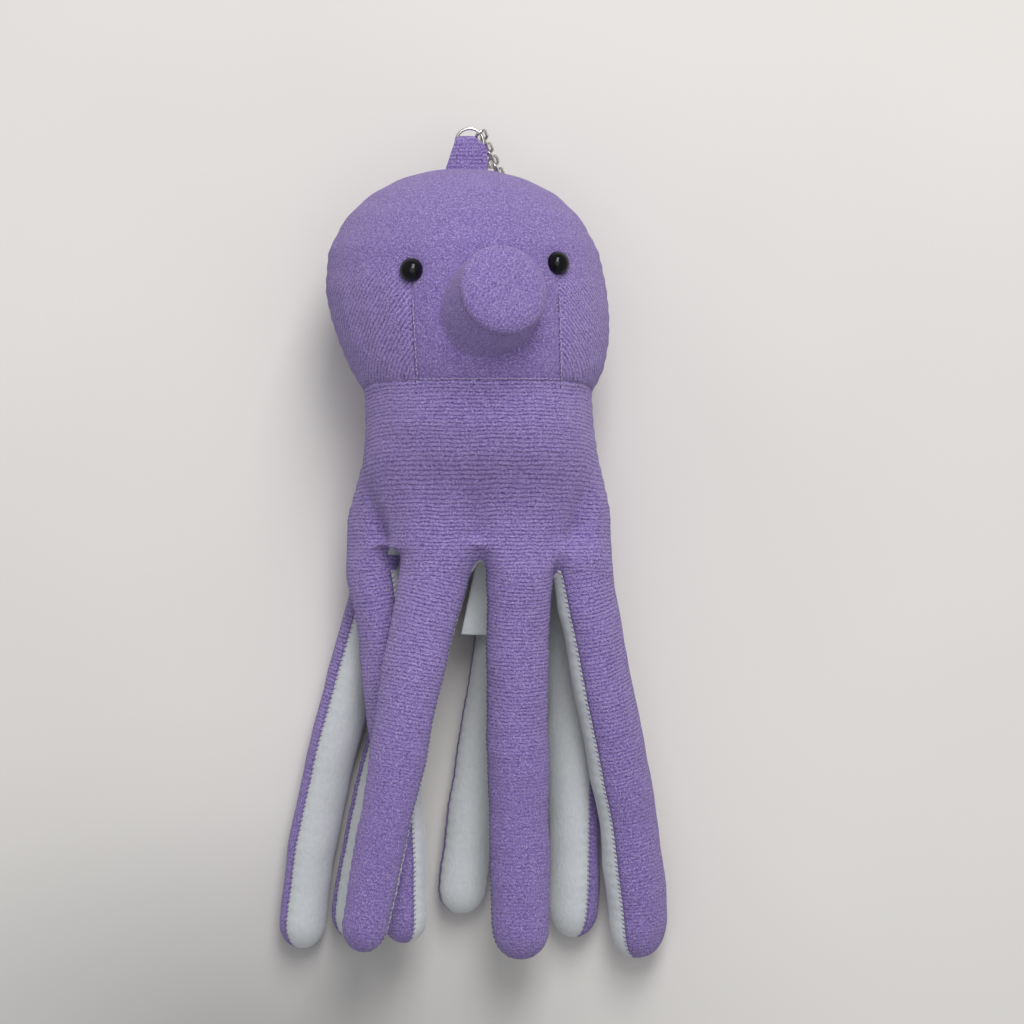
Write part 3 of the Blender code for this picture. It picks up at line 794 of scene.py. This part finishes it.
def make_arm_stitches(arm, relief, material):
    """Slanting stitches that hold the two faces of an arm together."""
    parts = []
    for side in (1, -1):
        angles = side * (math.pi / 2 + np.array(STITCH_TURNS))
        points, reach, _, centre = arm.surface(angles, relief)
        distance = reach[:, 0]
        for place in np.arange(distance[0] + UNDERLAP, distance[-1] - 0.6, STITCH_STEP):
            path = []
            for k, (slant, lift) in enumerate(STITCH):
                spot, core = (np.array([np.interp(place + slant, distance, run[:, axis])
                                        for axis in range(3)]) for run in (points[:, k], centre))
                path.append(spot + unit(spot - core) * lift)
            parts.append(tube(path, THREAD, 5))
    points, faces = gather(parts)
    points[:, 2] = np.maximum(points[:, 2], ARM_GAP)
    return add_piece(f"arm_{arm.name}_stitches", points, faces, material)


# ---------------------------------------------------------------- torso

def measure_torso():
    """Where the hem and the neck of the CAD's body lie, and how wide and deep the hem is."""
    front, back, head = (corners(node) for node in (*BODY_PANELS, HEAD_PANELS[0]))
    hem, neck = front[:, 1].min(), head[:, 1].min()
    at_hem = front[front[:, 1] < hem + NEAR_EDGE]
    at_neck = front[front[:, 1] > front[:, 1].max() - NEAR_EDGE]
    hem_back = back[back[:, 1] < hem + NEAR_EDGE, 2].min()
    neck_back = back[back[:, 1] > neck - 3 * NEAR_EDGE, 2].min()
    return SimpleNamespace(
        hem=hem, neck=neck, crown_x=head[head[:, 1].argmax(), 0],
        x=(at_hem[:, 0].max() + at_hem[:, 0].min()) / 2, half=np.ptp(at_hem[:, 0]) / 2,
        hem_z=(at_hem[:, 2].max() + hem_back) / 2, deep=(at_hem[:, 2].max() - hem_back) / 2,
        neck_z=(at_neck[:, 2].max() + neck_back) / 2)


def crotches(arms):
    """Directions, seen along Y from the middle of the hem, that pass between the arms' roots."""
    turns = sorted(math.atan2(a.hinge[2] - torso.hem_z, a.hinge[0] - torso.x) for a in arms)
    return [(a + b) / 2 for a, b in zip(turns, turns[1:] + [turns[0] + math.tau])]


def arms_hull(arms, angles):
    """How far the hull of the arms' roots reaches from the middle of the hem, at given angles."""
    turns = circle(24)
    outline = []
    for arm in arms:
        middle, _, face, across = arm.at(arm.hinge[1])
        ring = (middle + np.outer(np.sin(turns) * arm.wide[0], across)
                + np.outer(np.cos(turns) * arm.thick[0], face))
        outline.append(ring[:, (0, 2)] - (torso.x, torso.hem_z))
    outline = np.vstack(outline)
    ways = circle(180)
    support = (outline @ np.stack([np.cos(ways), np.sin(ways)])).max(0)
    lean = np.cos(angles[:, None] - ways[None, :])
    return np.where(lean > 0.2, support[None, :] / np.maximum(lean, 0.2), 1e3).min(1)


def draw_in_hem(points, arms):
    """Towards the hem the body's cloth comes to lie over the roots of the arms."""
    dx, dz = points[:, 0] - torso.x, points[:, 2] - torso.hem_z
    reach, angles = np.hypot(dx, dz), np.arctan2(dz, dx)
    excess = np.maximum(reach - arms_hull(arms, angles) - HULL_EASE, 0)
    excess *= rise(points[:, 1], torso.hem + HULL_RUN, -HULL_RUN)
    scale = 1 - excess / np.maximum(reach, 1)
    points = points.copy()
    points[:, 0] = torso.x + dx * scale
    points[:, 2] = torso.hem_z + dz * scale
    return points


def neck_line(points):
    """Height of the neck seam at each point: it rises towards the front."""
    return torso.neck + NECK_RISE * rise(points[:, 1], torso.hem + 6, 24) * rise(points[:, 2], 26, 26)


def dart_distance(points):
    """Distance from the nearer dart, on the front of the head."""
    best = np.full(len(points), 1e3)
    for (x0, y0), (x1, y1) in DARTS.values():
        share = (y0 - points[:, 1]) / (y0 - y1)
        past = np.maximum(np.maximum(-share, share - 1) * (y0 - y1), 0)
        best = np.minimum(best, np.hypot(points[:, 0] - mix(x0, x1, np.clip(share, 0, 1)), past))
    return np.where(points[:, 2] > HEAD_SEAM_Z, best, 1e3)


def torso_relief(points, eyes):
    """How far the cloth of head and body stands out (or in) along its normal."""
    x, y, z = points.T
    side_seam = mix(torso.neck_z, torso.hem_z, rise(y, torso.neck, torso.hem - torso.neck))
    seam = z - np.where(y > torso.neck, HEAD_SEAM_Z, side_seam)
    neck, dart = y - neck_line(points), dart_distance(points)
    free = rise(y, torso.hem + 1, 10)
    at_side = free * rise(np.abs(x - torso.x), 20, 6)
    out = 0.35 + free * (0.45 + 0.30 * lumps(points, 24, 2) + 0.10 * lumps(points, 9, 5))

    # Each seam is a narrow groove in a broad, shallow dip, with puckers on both sides.
    for distance, groove, dip, width, weight in ((neck, 0.6, 0.35, 4.5, 1.0),
                                                 (dart, 0.8, 0.35, 3.0, 1.0),
                                                 (seam, 0.7, 0.25, 4.0, at_side)):
        out -= weight * (groove * SEAM_DEPTH * bell(distance, SEAM_WIDTH) + dip * bell(distance, width))
    out += PUCKER * np.sin(y * math.tau / 3.3) * bell(np.abs(seam) - 2.2, 1.8) * at_side
    out += 0.6 * PUCKER * np.sin(x * math.tau / 3.6) * bell(np.abs(neck) - 2.2, 1.6)

    waist = bell(y - torso.neck + 14, 18) * np.clip((x - torso.x) / torso.half, -1, 1)
    out += np.where(waist < 0, *WAIST) * waist
    for place, _ in eyes:
        out -= bell(np.linalg.norm(points - place, axis=1), EYE_DENT)
    return out


def crotch_relief(points, arms):
    """Valleys that run up the body from between the arms."""
    x, y, z = points.T
    dx, dz = x - torso.x, z - torso.hem_z
    valley = np.zeros(len(points))
    for turn in crotches(arms):
        ahead = dx * math.cos(turn) + dz * math.sin(turn)
        aside = dz * math.cos(turn) - dx * math.sin(turn)
        valley = np.where(ahead > 0, np.maximum(valley, bell(aside, CROTCH_WIDTH)), valley)
    fade = rise(y, torso.hem + CROTCH_REACH, -CROTCH_REACH) * rise(y, torso.hem - 2.2, 6)
    return -CROTCH_DEPTH * fade * valley


def torso_cloth(points):
    """Wale, course and how brushed the knit is, for each point of the head and body."""
    x, y, z = points.T
    centre = mix(torso.x, torso.crown_x, rise(y, 44, 33))
    around = np.arctan2(x - centre, z - HEAD_SEAM_Z) * HEAD_ROUND
    neck = neck_line(points)
    on_head = y > neck
    high = rise(y, FUZZY_FROM, 9)
    wale, course = around, y - neck
    # The knit of the cheeks, outside the darts, runs aslant.
    face = on_head
    for side, lean in (("left", -1), ("right", 1)):
        line = mix(*(p[0] for p in DARTS[side]), np.clip((DART_TOP - y) / DART_RUN, 0, 1))
        cheek = on_head & (lean * (x - line) > 0) & (z > 20)
        wale = np.where(cheek, (around - lean * y) * math.sqrt(0.5), wale)
        course = np.where(cheek, (y + lean * around) * math.sqrt(0.5), course)
        face = face & ~cheek
    brushed = np.where(on_head, mix(*HEAD_BRUSHED, high), BODY_BRUSHED)
    brushed = np.where(face, FACE_BRUSHED, brushed)
    return wale, course, np.maximum(brushed, on_head * high * HEAD_BRUSHED[1])


def underside_field(points, normals, arms):
    """Above zero where the body's cloth is the white one: its underside and the inner faces."""
    x, y, z = points.T
    rim = arms[0].rim
    across, up = np.abs(x - torso.x) / torso.half, np.abs(z - torso.hem_z) / torso.deep
    panel = 8 * (PANEL_SHARE - (across ** PANEL_POWER + up ** PANEL_POWER) ** (1 / PANEL_POWER))
    panel = np.minimum(panel, -normals[:, 1] - 0.35)
    panel = np.where(y < torso.hem + 8, panel, -1.0)

    nearest, facing = np.full(len(points), 1e3), np.zeros(len(points))
    for arm in arms:
        middle, _, face, _ = arm.at(y)
        offset = points - middle
        away = np.linalg.norm(offset, axis=1)
        facing = np.where(away < nearest, (offset * face).sum(1) / away, facing)
        nearest = np.minimum(nearest, away)
    # Near the slits' ends the seam between knit and fleece keeps out of sight.
    inner = np.minimum(-facing - 0.10 - 0.40 * rise(y, rim - 2.5, 4), (torso.hem - 0.8 - y) / 2)
    outward = unit(np.stack([x - torso.x, 0 * x, z - torso.hem_z], 1) + 1e-6)
    turned_in = 0.1 - (normals * outward).sum(1) + 2 * rise(y, rim + 0.5, -3)
    return np.maximum(panel, np.minimum(inner, turned_in))


def eye_frames():
    """Place on the cloth and outward direction of each eye, from its CAD dome and washer."""
    found = []
    for side in ("left", "right"):
        dome, washer = corners(f"eye_{side}"), corners(f"eye_washer_{side}")
        centre = (washer.max(0) + washer.min(0)) / 2
        way = unit(dome.mean(0) - washer.mean(0))
        top = ((dome - centre) @ way).max()
        found.append((centre + way * (top - EYE_STAND), way))
    return found


def torso_form(arms, looks):
    """The CAD's torso and the roots of the arms, grown together into one smooth mesh."""
    solids = {node: mesh_parts(frame["nodes"][node].data) for node in TORSO_NODES}
    body = tree_of(*gather([solids[node] for node in BODY_PANELS]))
    points, faces = gather([*solids.values(), *(stub_solid(arm, body) for arm in arms)])
    rough = add_piece("torso_rough", points, faces, looks["knit"])
    remesh = rough.modifiers.new("remesh", "REMESH")
    remesh.mode = "VOXEL"
    remesh.voxel_size = VOXEL * MM
    points, faces = largest_island(*evaluated(rough))
    edges = neighbours(faces)
    points = relax(points, edges, FILLET_PASSES)
    points = relax(points, edges, HEAD_PASSES, rise(points[:, 1], torso.neck + 2, 8), 0.545)
    points = draw_in_hem(points, arms)
    near_hem = rise(points[:, 1], torso.hem - 6, 4) * rise(points[:, 1], torso.hem + 12, -8)
    points = relax(points, edges, HEM_PASSES, near_hem, 0.0)
    points = points + normals_of(points, faces) * crotch_relief(points, arms)[:, None]
    points = relax(points, edges, LAST_PASSES)
    fine = add_piece("torso_fine", points, faces, looks["knit"])
    divide = fine.modifiers.new("divide", "SUBSURF")
    divide.levels = divide.render_levels = 1
    return evaluated(fine)


def make_torso(arms, looks, eyes):
    """The purple skin of head and body, and the white panel under it; returns the skin."""
    points, faces = torso_form(arms, looks)
    normals = normals_of(points, faces)
    points = points + normals * torso_relief(points, eyes)[:, None]
    points[:, 2] = np.maximum(points[:, 2], FLOOR_GAP)
    rim = arms[0].rim
    tree = tree_of(points, faces)
    for arm in arms:
        arm.body_cloth = tree
    points = points - normals * (RIM_SINK * rise(points[:, 1], rim, -5))[:, None]
    (points, faces), _ = split_along(points, faces, points[:, 1] - rim + RIM_HEM)
    white = underside_field(points, normals_of(points, faces), arms)
    under, skin = split_along(points, faces, white)
    knit = add_stuffed("torso_knit", *skin, looks["knit"], "knit", torso_cloth(skin[0]),
                       *HEAD_PANELS, *BODY_PANELS, "torso_stuffing")
    add_stuffed("torso_underside", *under, looks["fleece"], "fleece", torso_cloth(under[0]),
                "underside_panel")
    return knit


# ---------------------------------------------------------------- head details

def spokes_about(way, sides):
    """Two directions square to a direction, and the angles and directions of spokes around it."""
    side = unit(np.cross(way, (0.0, 1.0, 0.0)))
    over = np.cross(way, side)
    angles = circle(sides)
    spokes = side[None] * np.cos(angles)[:, None] + over[None] * np.sin(angles)[:, None]
    return side, over, angles, spokes


def turned(profile, place, way, sides):
    """Points and faces of a profile of (radius, height) pairs turned about a direction."""
    spokes = spokes_about(way, sides)[3]
    points = [place + spokes * max(radius, 0.01) + way * height for radius, height in profile]
    return np.vstack(points), grid_faces(len(profile), sides, closed=True)


def make_eyes(looks, eyes):
    """A glossy dome with a rounded rim, and the shank that goes through the cloth."""
    shank, length = EYE_SHANK
    profile = [(0, EYE_STAND)]
    for angle in np.radians(np.arange(7.5, 91, 7.5)):
        profile.append((EYE_RADIUS * math.sin(angle), EYE_STAND * math.cos(angle) ** 0.9))
    profile += [(EYE_RADIUS * 0.97, -0.5), (EYE_RADIUS * 0.85, -0.9),
                (shank, -1.0), (shank, -length), (0, -length)]
    for (place, way), side in zip(eyes, ("left", "right")):
        points, faces = turned(profile, place, way, EYE_SIDES)
        eye = add_piece(f"eye_{side}_dome", points, faces, looks["eye"])
        on_body(eye, "torso", "eye", f"eye_{side}")


def make_nose(looks, skin_tree):
    """The stuffed nose, as its wall and its crowned end."""
    disc, wall = corners("nose_end_disc"), corners("nose_side_panel")
    centre, axes, _ = axes_of("nose_end_disc")
    way = axes[2] * math.copysign(1, axes[2][2])
    height = (disc - centre) @ way
    end = centre + way * height.min() + NOSE_SHIFT
    rim = np.linalg.norm((disc - centre) - height[:, None] * way, axis=1).max()
    base = np.linalg.norm((wall - end) - ((wall - end) @ way)[:, None] * way, axis=1).max()
    make_nose_wall(looks, skin_tree, end, way, base - NOSE_TAPER[0], rim)
    make_nose_end(looks, end, way, rim)


def make_nose_wall(looks, skin_tree, end, way, base, rim):
    """From under the face's cloth up to the seam at the rim."""
    _, _, angles, spokes = spokes_about(way, NOSE_SIDES)
    starts = end + NOSE_BASE_SHIFT + spokes * base + way * NOSE_FOOT
    depth = np.array([skin_tree.ray_cast(Vector(start), Vector(-way))[3] for start in starts])
    depth = depth - NOSE_FOOT + NOSE_DEEPER
    share = np.linspace(0, 1, NOSE_ROWS)
    # It flares a little at its foot, swells in the middle and pulls in at the rim.
    radius = (mix(base, rim - NOSE_TAPER[1], share) + 0.35 * np.sin(math.pi * share)
              + 0.9 * (1 - share) ** 8 - 1.3 * bell(share - 1, 0.09))
    middle = end + NOSE_BASE_SHIFT * (1 - share)[:, None]
    down = depth[None, :] * (1 - share)[:, None] - 0.1
    points = middle[:, None] + spokes * radius[:, None, None] - way * down[..., None]
    points = points + lumps(points, 7, 4)[..., None] * spokes[None] * 0.22
    reach = np.linalg.norm(np.diff(points, axis=0), axis=2).cumsum(0)
    reach = np.vstack([np.zeros((1, NOSE_SIDES)), reach])
    faces = [face[::-1] for face in grid_faces(NOSE_ROWS, NOSE_SIDES, closed=True)]
    add_stuffed("nose_wall", points, faces, looks["knit"], "knit",
                (angles * rim, reach, NOSE_BRUSHED[0]), "nose_side_panel", "nose_stuffing")


def make_nose_end(looks, end, way, rim):
    """The crowned end, over the rim's seam and down inside it."""
    side, over, _, _ = spokes_about(way, NOSE_SIDES)
    scale = rim / NOSE_END_RADIUS
    fine = [(mix(r0, r1, t) * scale, mix(h0, h1, t))
            for (r0, h0), (r1, h1) in zip(NOSE_END, NOSE_END[1:]) for t in (0, 0.34, 0.67)]
    fine.append((NOSE_END[-1][0] * scale, NOSE_END[-1][1]))
    points, faces = turned(fine, end, way, NOSE_SIDES)
    normal = unit(points - (end - way * 9))
    points = points + normal * (0.16 * lumps(points, 6, 8))[:, None]
    u, v = (points - end) @ side, (points - end) @ over
    cosine, sine = math.cos(NOSE_KNIT_TURN), math.sin(NOSE_KNIT_TURN)
    cloth = (u * cosine + v * sine, v * cosine - u * sine, NOSE_BRUSHED[1])
    add_stuffed("nose_end", points, faces, looks["knit"], "knit", cloth, "nose_end_disc")


def on_surface(tree, x, y):
    """The cloth's front surface at a place seen from above, and its normal there."""
    hit = tree.ray_cast(Vector((x, y, 200.0)), Vector((0, 0, -1)))
    return np.array(hit[0]), np.array(hit[1])


def stitch(start, step, out, low, high, last, radius, sides):
    """A stitch that rises off the cloth between its two ends."""
    path = [start + step * t + out * (low + high * math.sin(math.pi * t))
            for t in (*THREAD_SHARES, last)]
    return tube(path, radius, sides)


# A dark tube painted as the shade inside a needle hole.
def needle_hole_shade(start, step, end, middle):
    return tube([start + step * t for t in HOLE_SHARES], [end, middle, end], 6)


def add_sewing(body, looks, **kinds):
    """Light threads and dark tubes painted as the shade in needle holes, each kind as one piece."""
    for (name, parts), look in zip(kinds.items(), ("bright_thread", "hole")):
        on_body(add_piece(name, *gather(parts), looks[look]), body, "knit")


def make_seam_threads(looks, skin_tree):
    """The light thread along the darts and the neck seam, and dark tubes painted as the shade in its
    needle holes.
    """
    places = []
    for (x0, y0), (x1, y1) in DARTS.values():
        for y in np.arange(y0 - EYE_RADIUS - 1.5, y1 - 1.0, -DART_STEP):
            places.append((mix(x0, x1, (y0 - y) / (y0 - y1)), y, np.array([0, -DART_STEP, 0])))
    for x in np.arange(DARTS["left"][1][0] + 1, DARTS["right"][1][0], DART_STEP):
        spot, _ = on_surface(skin_tree, x, torso.neck + 2)
        places.append((x, float(neck_line(spot[None])[0]), np.array([DART_STEP, 0, 0])))
    threads, holes = [], []
    for number, (x, y, step) in enumerate(places):
        spot, normal = on_surface(skin_tree, x, y)
        reach = step - normal * (step @ normal)
        aside = unit(np.cross(normal, reach))
        drift = 0.10 * math.sin(number * 2.3)
        threads.append(stitch(spot + aside * (drift + 0.24), reach, normal, 0.10, 0.16, 0.9,
                              THREAD_WIDTH, 5))
        if step[1] and number % 3 or number % 7 == 0:
            holes.append(needle_hole_shade(spot + aside * (drift - 0.16) + normal * 0.02, reach / 2,
                                     0.06, 0.17))
    add_sewing("torso", looks, seam_threads=threads, seam_holes=holes)


# ---------------------------------------------------------------- loop, label and metal

def strap(path, lefts, rights, thickness, columns):
    """A closed thin band of cloth along a path in the YZ plane, from its left to its right edge."""
    across = np.array([1.0, 0.0, 0.0])
    normal = unit(np.cross(unit(np.gradient(path, axis=0)), across))
    spread = np.linspace(0, 1, columns)
    beside = mix(lefts[:, None], rights[:, None], spread)
    middle = path[:, None] + across * beside[..., None]
    edge = thickness / 2 * (1 - 0.6 * np.abs(2 * spread - 1) ** 8)
    layers = [middle + side * normal[:, None] * edge[:, None] for side in (1, -1)]
    points = np.vstack([layer.reshape(-1, 3) for layer in layers])
    count = len(path)
    size = count * columns
    faces = grid_faces(count, columns) + [f[::-1] for f in grid_faces(count, columns, size)]
    borders = [(row * columns + column, (row + 1) * columns + column, turn)
               for row in range(count - 1) for column, turn in ((0, 1), (columns - 1, -1))]
    borders += [(row * columns + column, row * columns + column + 1, turn)
                for row, turn in ((0, -1), (count - 1, 1)) for column in range(columns - 1)]
    faces += [(a, a + size, b + size, b)[::turn] for a, b, turn in borders]
    length = np.concatenate([[0], np.linalg.norm(np.diff(path, axis=0), axis=1).cumsum()])
    return points, faces, np.tile(beside.ravel(), 2), np.tile(np.repeat(length, columns), 2), length[-1]


def folded(start, turn, radius, rows, steps):
    """How a strip runs up to its fold and back, and how high it lies over its middle."""
    straight = np.linspace(start, turn, rows)
    arc = np.linspace(0, math.pi, steps)[1:-1]
    layer = np.full(rows, radius)
    run = np.concatenate([straight, turn + radius * np.sin(arc), straight[::-1]])
    return run, np.concatenate([layer, radius * np.cos(arc), -layer])


def loop_edges(y, low, high):
    """X of the loop's left and right edges from its middle, at a height y."""
    half = (high[0] - low[0]) / 2
    share = np.clip((y - low[1]) / (high[1] + LOOP_RISE - low[1]), 0, 1)
    left = mix(-half - 0.7, -3.1, share)
    right = mix(half - 0.4, half - 0.9, share) - 3.0 * rise(share, 0.62, 0.38)
    return left, right


def make_loop(looks):
    """The folded loop, sewn into the crown, with its stitches and the painted shade of its needle
    holes.
    """
    low, high = (np.array(corner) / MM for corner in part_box("hanging_loop"))
    middle = (low + high) / 2
    radius = (high[2] - low[2]) / 2 - 0.5
    root_y = low[1] - LOOP_SEWN_IN
    y, lift = folded(root_y, high[1] + LOOP_RISE - radius - 0.5, radius, LOOP_ROWS, 15)
    lift = lift * mix(LOOP_NARROW, 1.0, rise(y, root_y, 8))
    path = np.stack([np.full_like(y, middle[0]), y, middle[2] + lift], 1)
    points, faces, wale, course, length = strap(path, *loop_edges(y, low, high), LOOP_THICK, 15)
    points[:, 2] += 0.10 * lumps(points, 5, 3)
    loop = add_piece("hanging_loop_cloth", points, faces, looks["knit"],
                     (wale, course, LOOP_BRUSHED))
    on_body(loop, "loop", "knit", "hanging_loop")
    threads, holes = [], []
    up = np.array([0.0, 0.0, 1.0])
    for number, y in enumerate(np.arange(low[1] + 2.6, high[1] + LOOP_RISE - 2.0, LOOP_STITCH_STEP)):
        top = middle[2] + radius * mix(LOOP_NARROW, 1.0, rise(y, root_y, 8)) + LOOP_THICK * 0.55
        for side, edge in zip((1, -1), loop_edges(y, low, high)):
            inward = side * (1.5 + 0.1 * math.sin(number * 2.0))
            start = np.array([middle[0] + edge + inward, y, top])
            threads.append(stitch(start, np.array([0.12, 0.8, 0.0]), up, 0.0, 0.12, 1.0, THREAD, 6))
            holes.append(needle_hole_shade(start + (0.1, -0.2, 0.03), np.array([0.0, -0.3, 0.0]),
                                     0.05, 0.16))
    add_sewing("loop", looks, hanging_loop_stitches=threads, hanging_loop_holes=holes)


def make_label(looks):
    """The blank satin ribbon, folded in two; it cups and its free end curls up at the left."""
    centre, axes, half = axes_of("care_label")
    along = axes[0] * (-1 if axes[0][1] > 0 else 1)
    across = axes[1] * (1 if axes[1][0] > 0 else -1)
    out = axes[2] * (1 if axes[2][2] > 0 else -1)
    length, width = 2 * half[0], half[1]
    run, lift = folded(-LABEL_SEWN_IN, length - LABEL_GAP, LABEL_GAP, LABEL_ROWS, 9)
    path = np.stack([np.zeros_like(run), run, lift], 1)
    edge = np.full(len(run), width)
    points, faces, wale, course, flat_length = strap(path, -edge, edge, LABEL_THICK, 21)
    u, v, w = points.T
    share = v / length
    w = w + LABEL_CUP * (u / width) ** 2 * smoothstep(share) - 0.5
    w = w + LABEL_CURL * rise(share, 0.45, 0.55) * smoothstep(0.1 - u / width)
    v = v - LABEL_SLANT * rise(share, 0.5, 0.5) * (u / width + 1) / 2
    placed = centre - along * length / 2 + np.stack([u, v, w], 1) @ np.stack([across, along, out])
    label = add_piece("care_label_satin", placed, faces, looks["satin"], (wale, course, 0.0))
    on_body(label, "care_label_flap", "satin", "care_label")


def make_metal(looks):
    """Round wire for the jump ring and the chain's links, where the CAD's faceted ones lie."""
    centre, axes, half = axes_of("jump_ring")
    angles = circle(72)
    radius = (half[0] + half[1]) / 2 - half[2]
    path = centre + radius * (np.cos(angles)[:, None] * axes[0] + np.sin(angles)[:, None] * axes[1])
    ring = add_piece("jump_ring_wire", *tube(path, half[2], 14, True, axes[2]), looks["steel"])
    on_body(ring, "ring", "steel", "jump_ring")
    for number in range(1, LINKS + 1):
        centre, axes, half = axes_of(f"chain_link_{number}")
        bend, straight = half[1] - half[2], half[0] - half[1]
        path = [centre + end * (axes[0] * (straight + bend * math.sin(turn))
                                + axes[1] * bend * math.cos(turn))
                for end in (1, -1) for turn in np.linspace(0, math.pi, 16)]
        link = add_piece(f"chain_link_{number}_wire", *tube(path, half[2], 12, True, axes[2]),
                         looks["steel"])
        on_body(link, f"link_{number}", "steel", f"chain_link_{number}")


# ---------------------------------------------------------------- stage

def make_stage(looks):
    """Floor, sky, lamps and camera."""
    half = FLOOR_SIZE / 2
    floor = add_piece("floor", [(-half, -half, 0), (half, -half, 0), (half, half, 0), (-half, half, 0)],
                      [(0, 1, 2, 3)], looks["floor"])

    world = bpy.data.worlds.new("studio")
    bpy.context.scene.world = world
    world.use_nodes = True
    sky = world.node_tree.nodes["Background"].inputs
    sky["Color"].default_value = SKY_COLOUR
    sky["Strength"].default_value = SKY_STRENGTH

    for name, place, (width, length), power in LAMPS:
        data = bpy.data.lights.new(name, "AREA")
        data.shape = "RECTANGLE"
        data.energy = power
        data.size, data.size_y = width * MM, length * MM
        lamp = bpy.data.objects.new(name, data)
        lamp.location = Vector(place) * MM
        lamp.rotation_euler = (-Vector(place)).to_track_quat("-Z", "Y").to_euler()
        bpy.context.scene.collection.objects.link(lamp)

    lens = bpy.data.cameras.new("camera")
    lens.lens = CAMERA_LENS
    lens.clip_start = 0.05
    camera = bpy.data.objects.new("camera", lens)
    camera.location = Vector(CAMERA_PLACE) * MM
    bpy.context.scene.collection.objects.link(camera)
    bpy.context.scene.camera = camera
    bpy.context.scene.view_settings.view_transform = "Standard"


# ---------------------------------------------------------------- build

for old in list(bpy.data.objects):
    bpy.data.objects.remove(old)
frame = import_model()
torso = measure_torso()

looks = {
    "knit": knit_material(),
    "fleece": fleece_material(),
    "thread": thread_material("purple_thread", (0.10, 0.06, 0.21), (0.24, 0.17, 0.42)),
    "bright_thread": thread_material("lilac_thread", (0.29, 0.23, 0.46), (0.46, 0.39, 0.63)),
    # near black, painted as the shade in needle holes
    "hole": thread_material("needle_hole_shade", (0.020, 0.012, 0.045), (0.05, 0.03, 0.10)),
    "eye": plastic_material("black_gloss_plastic", (0.003, 0.003, 0.004), 0.05, 0.26),
    "washer": plastic_material("white_plastic", (0.62, 0.62, 0.60), 0.42, 0.5),
    "satin": satin_material(),
    "steel": steel_material(),
    "floor": floor_material(),
}
make_stage(looks)
arms = [Arm(joint["name"].removeprefix("arm_").removesuffix("_root"))
        for joint in frame["joints"] if joint["name"].startswith("arm_")]
eyes = eye_frames()
skin_tree = tree_of(*mesh_parts(make_torso(arms, looks, eyes).data))
make_eyes(looks, eyes)
make_nose(looks, skin_tree)
make_seam_threads(looks, skin_tree)
for number, arm in enumerate(arms):
    make_arm(arm, looks, number + 1)
make_loop(looks)
make_label(looks)
make_metal(looks)
for node, look in (("eye_washer_left", "washer"), ("eye_washer_right", "washer"),
                   ("split_ring", "steel")):
    frame["nodes"][node].data.materials.clear()
    frame["nodes"][node].data.materials.append(looks[look])
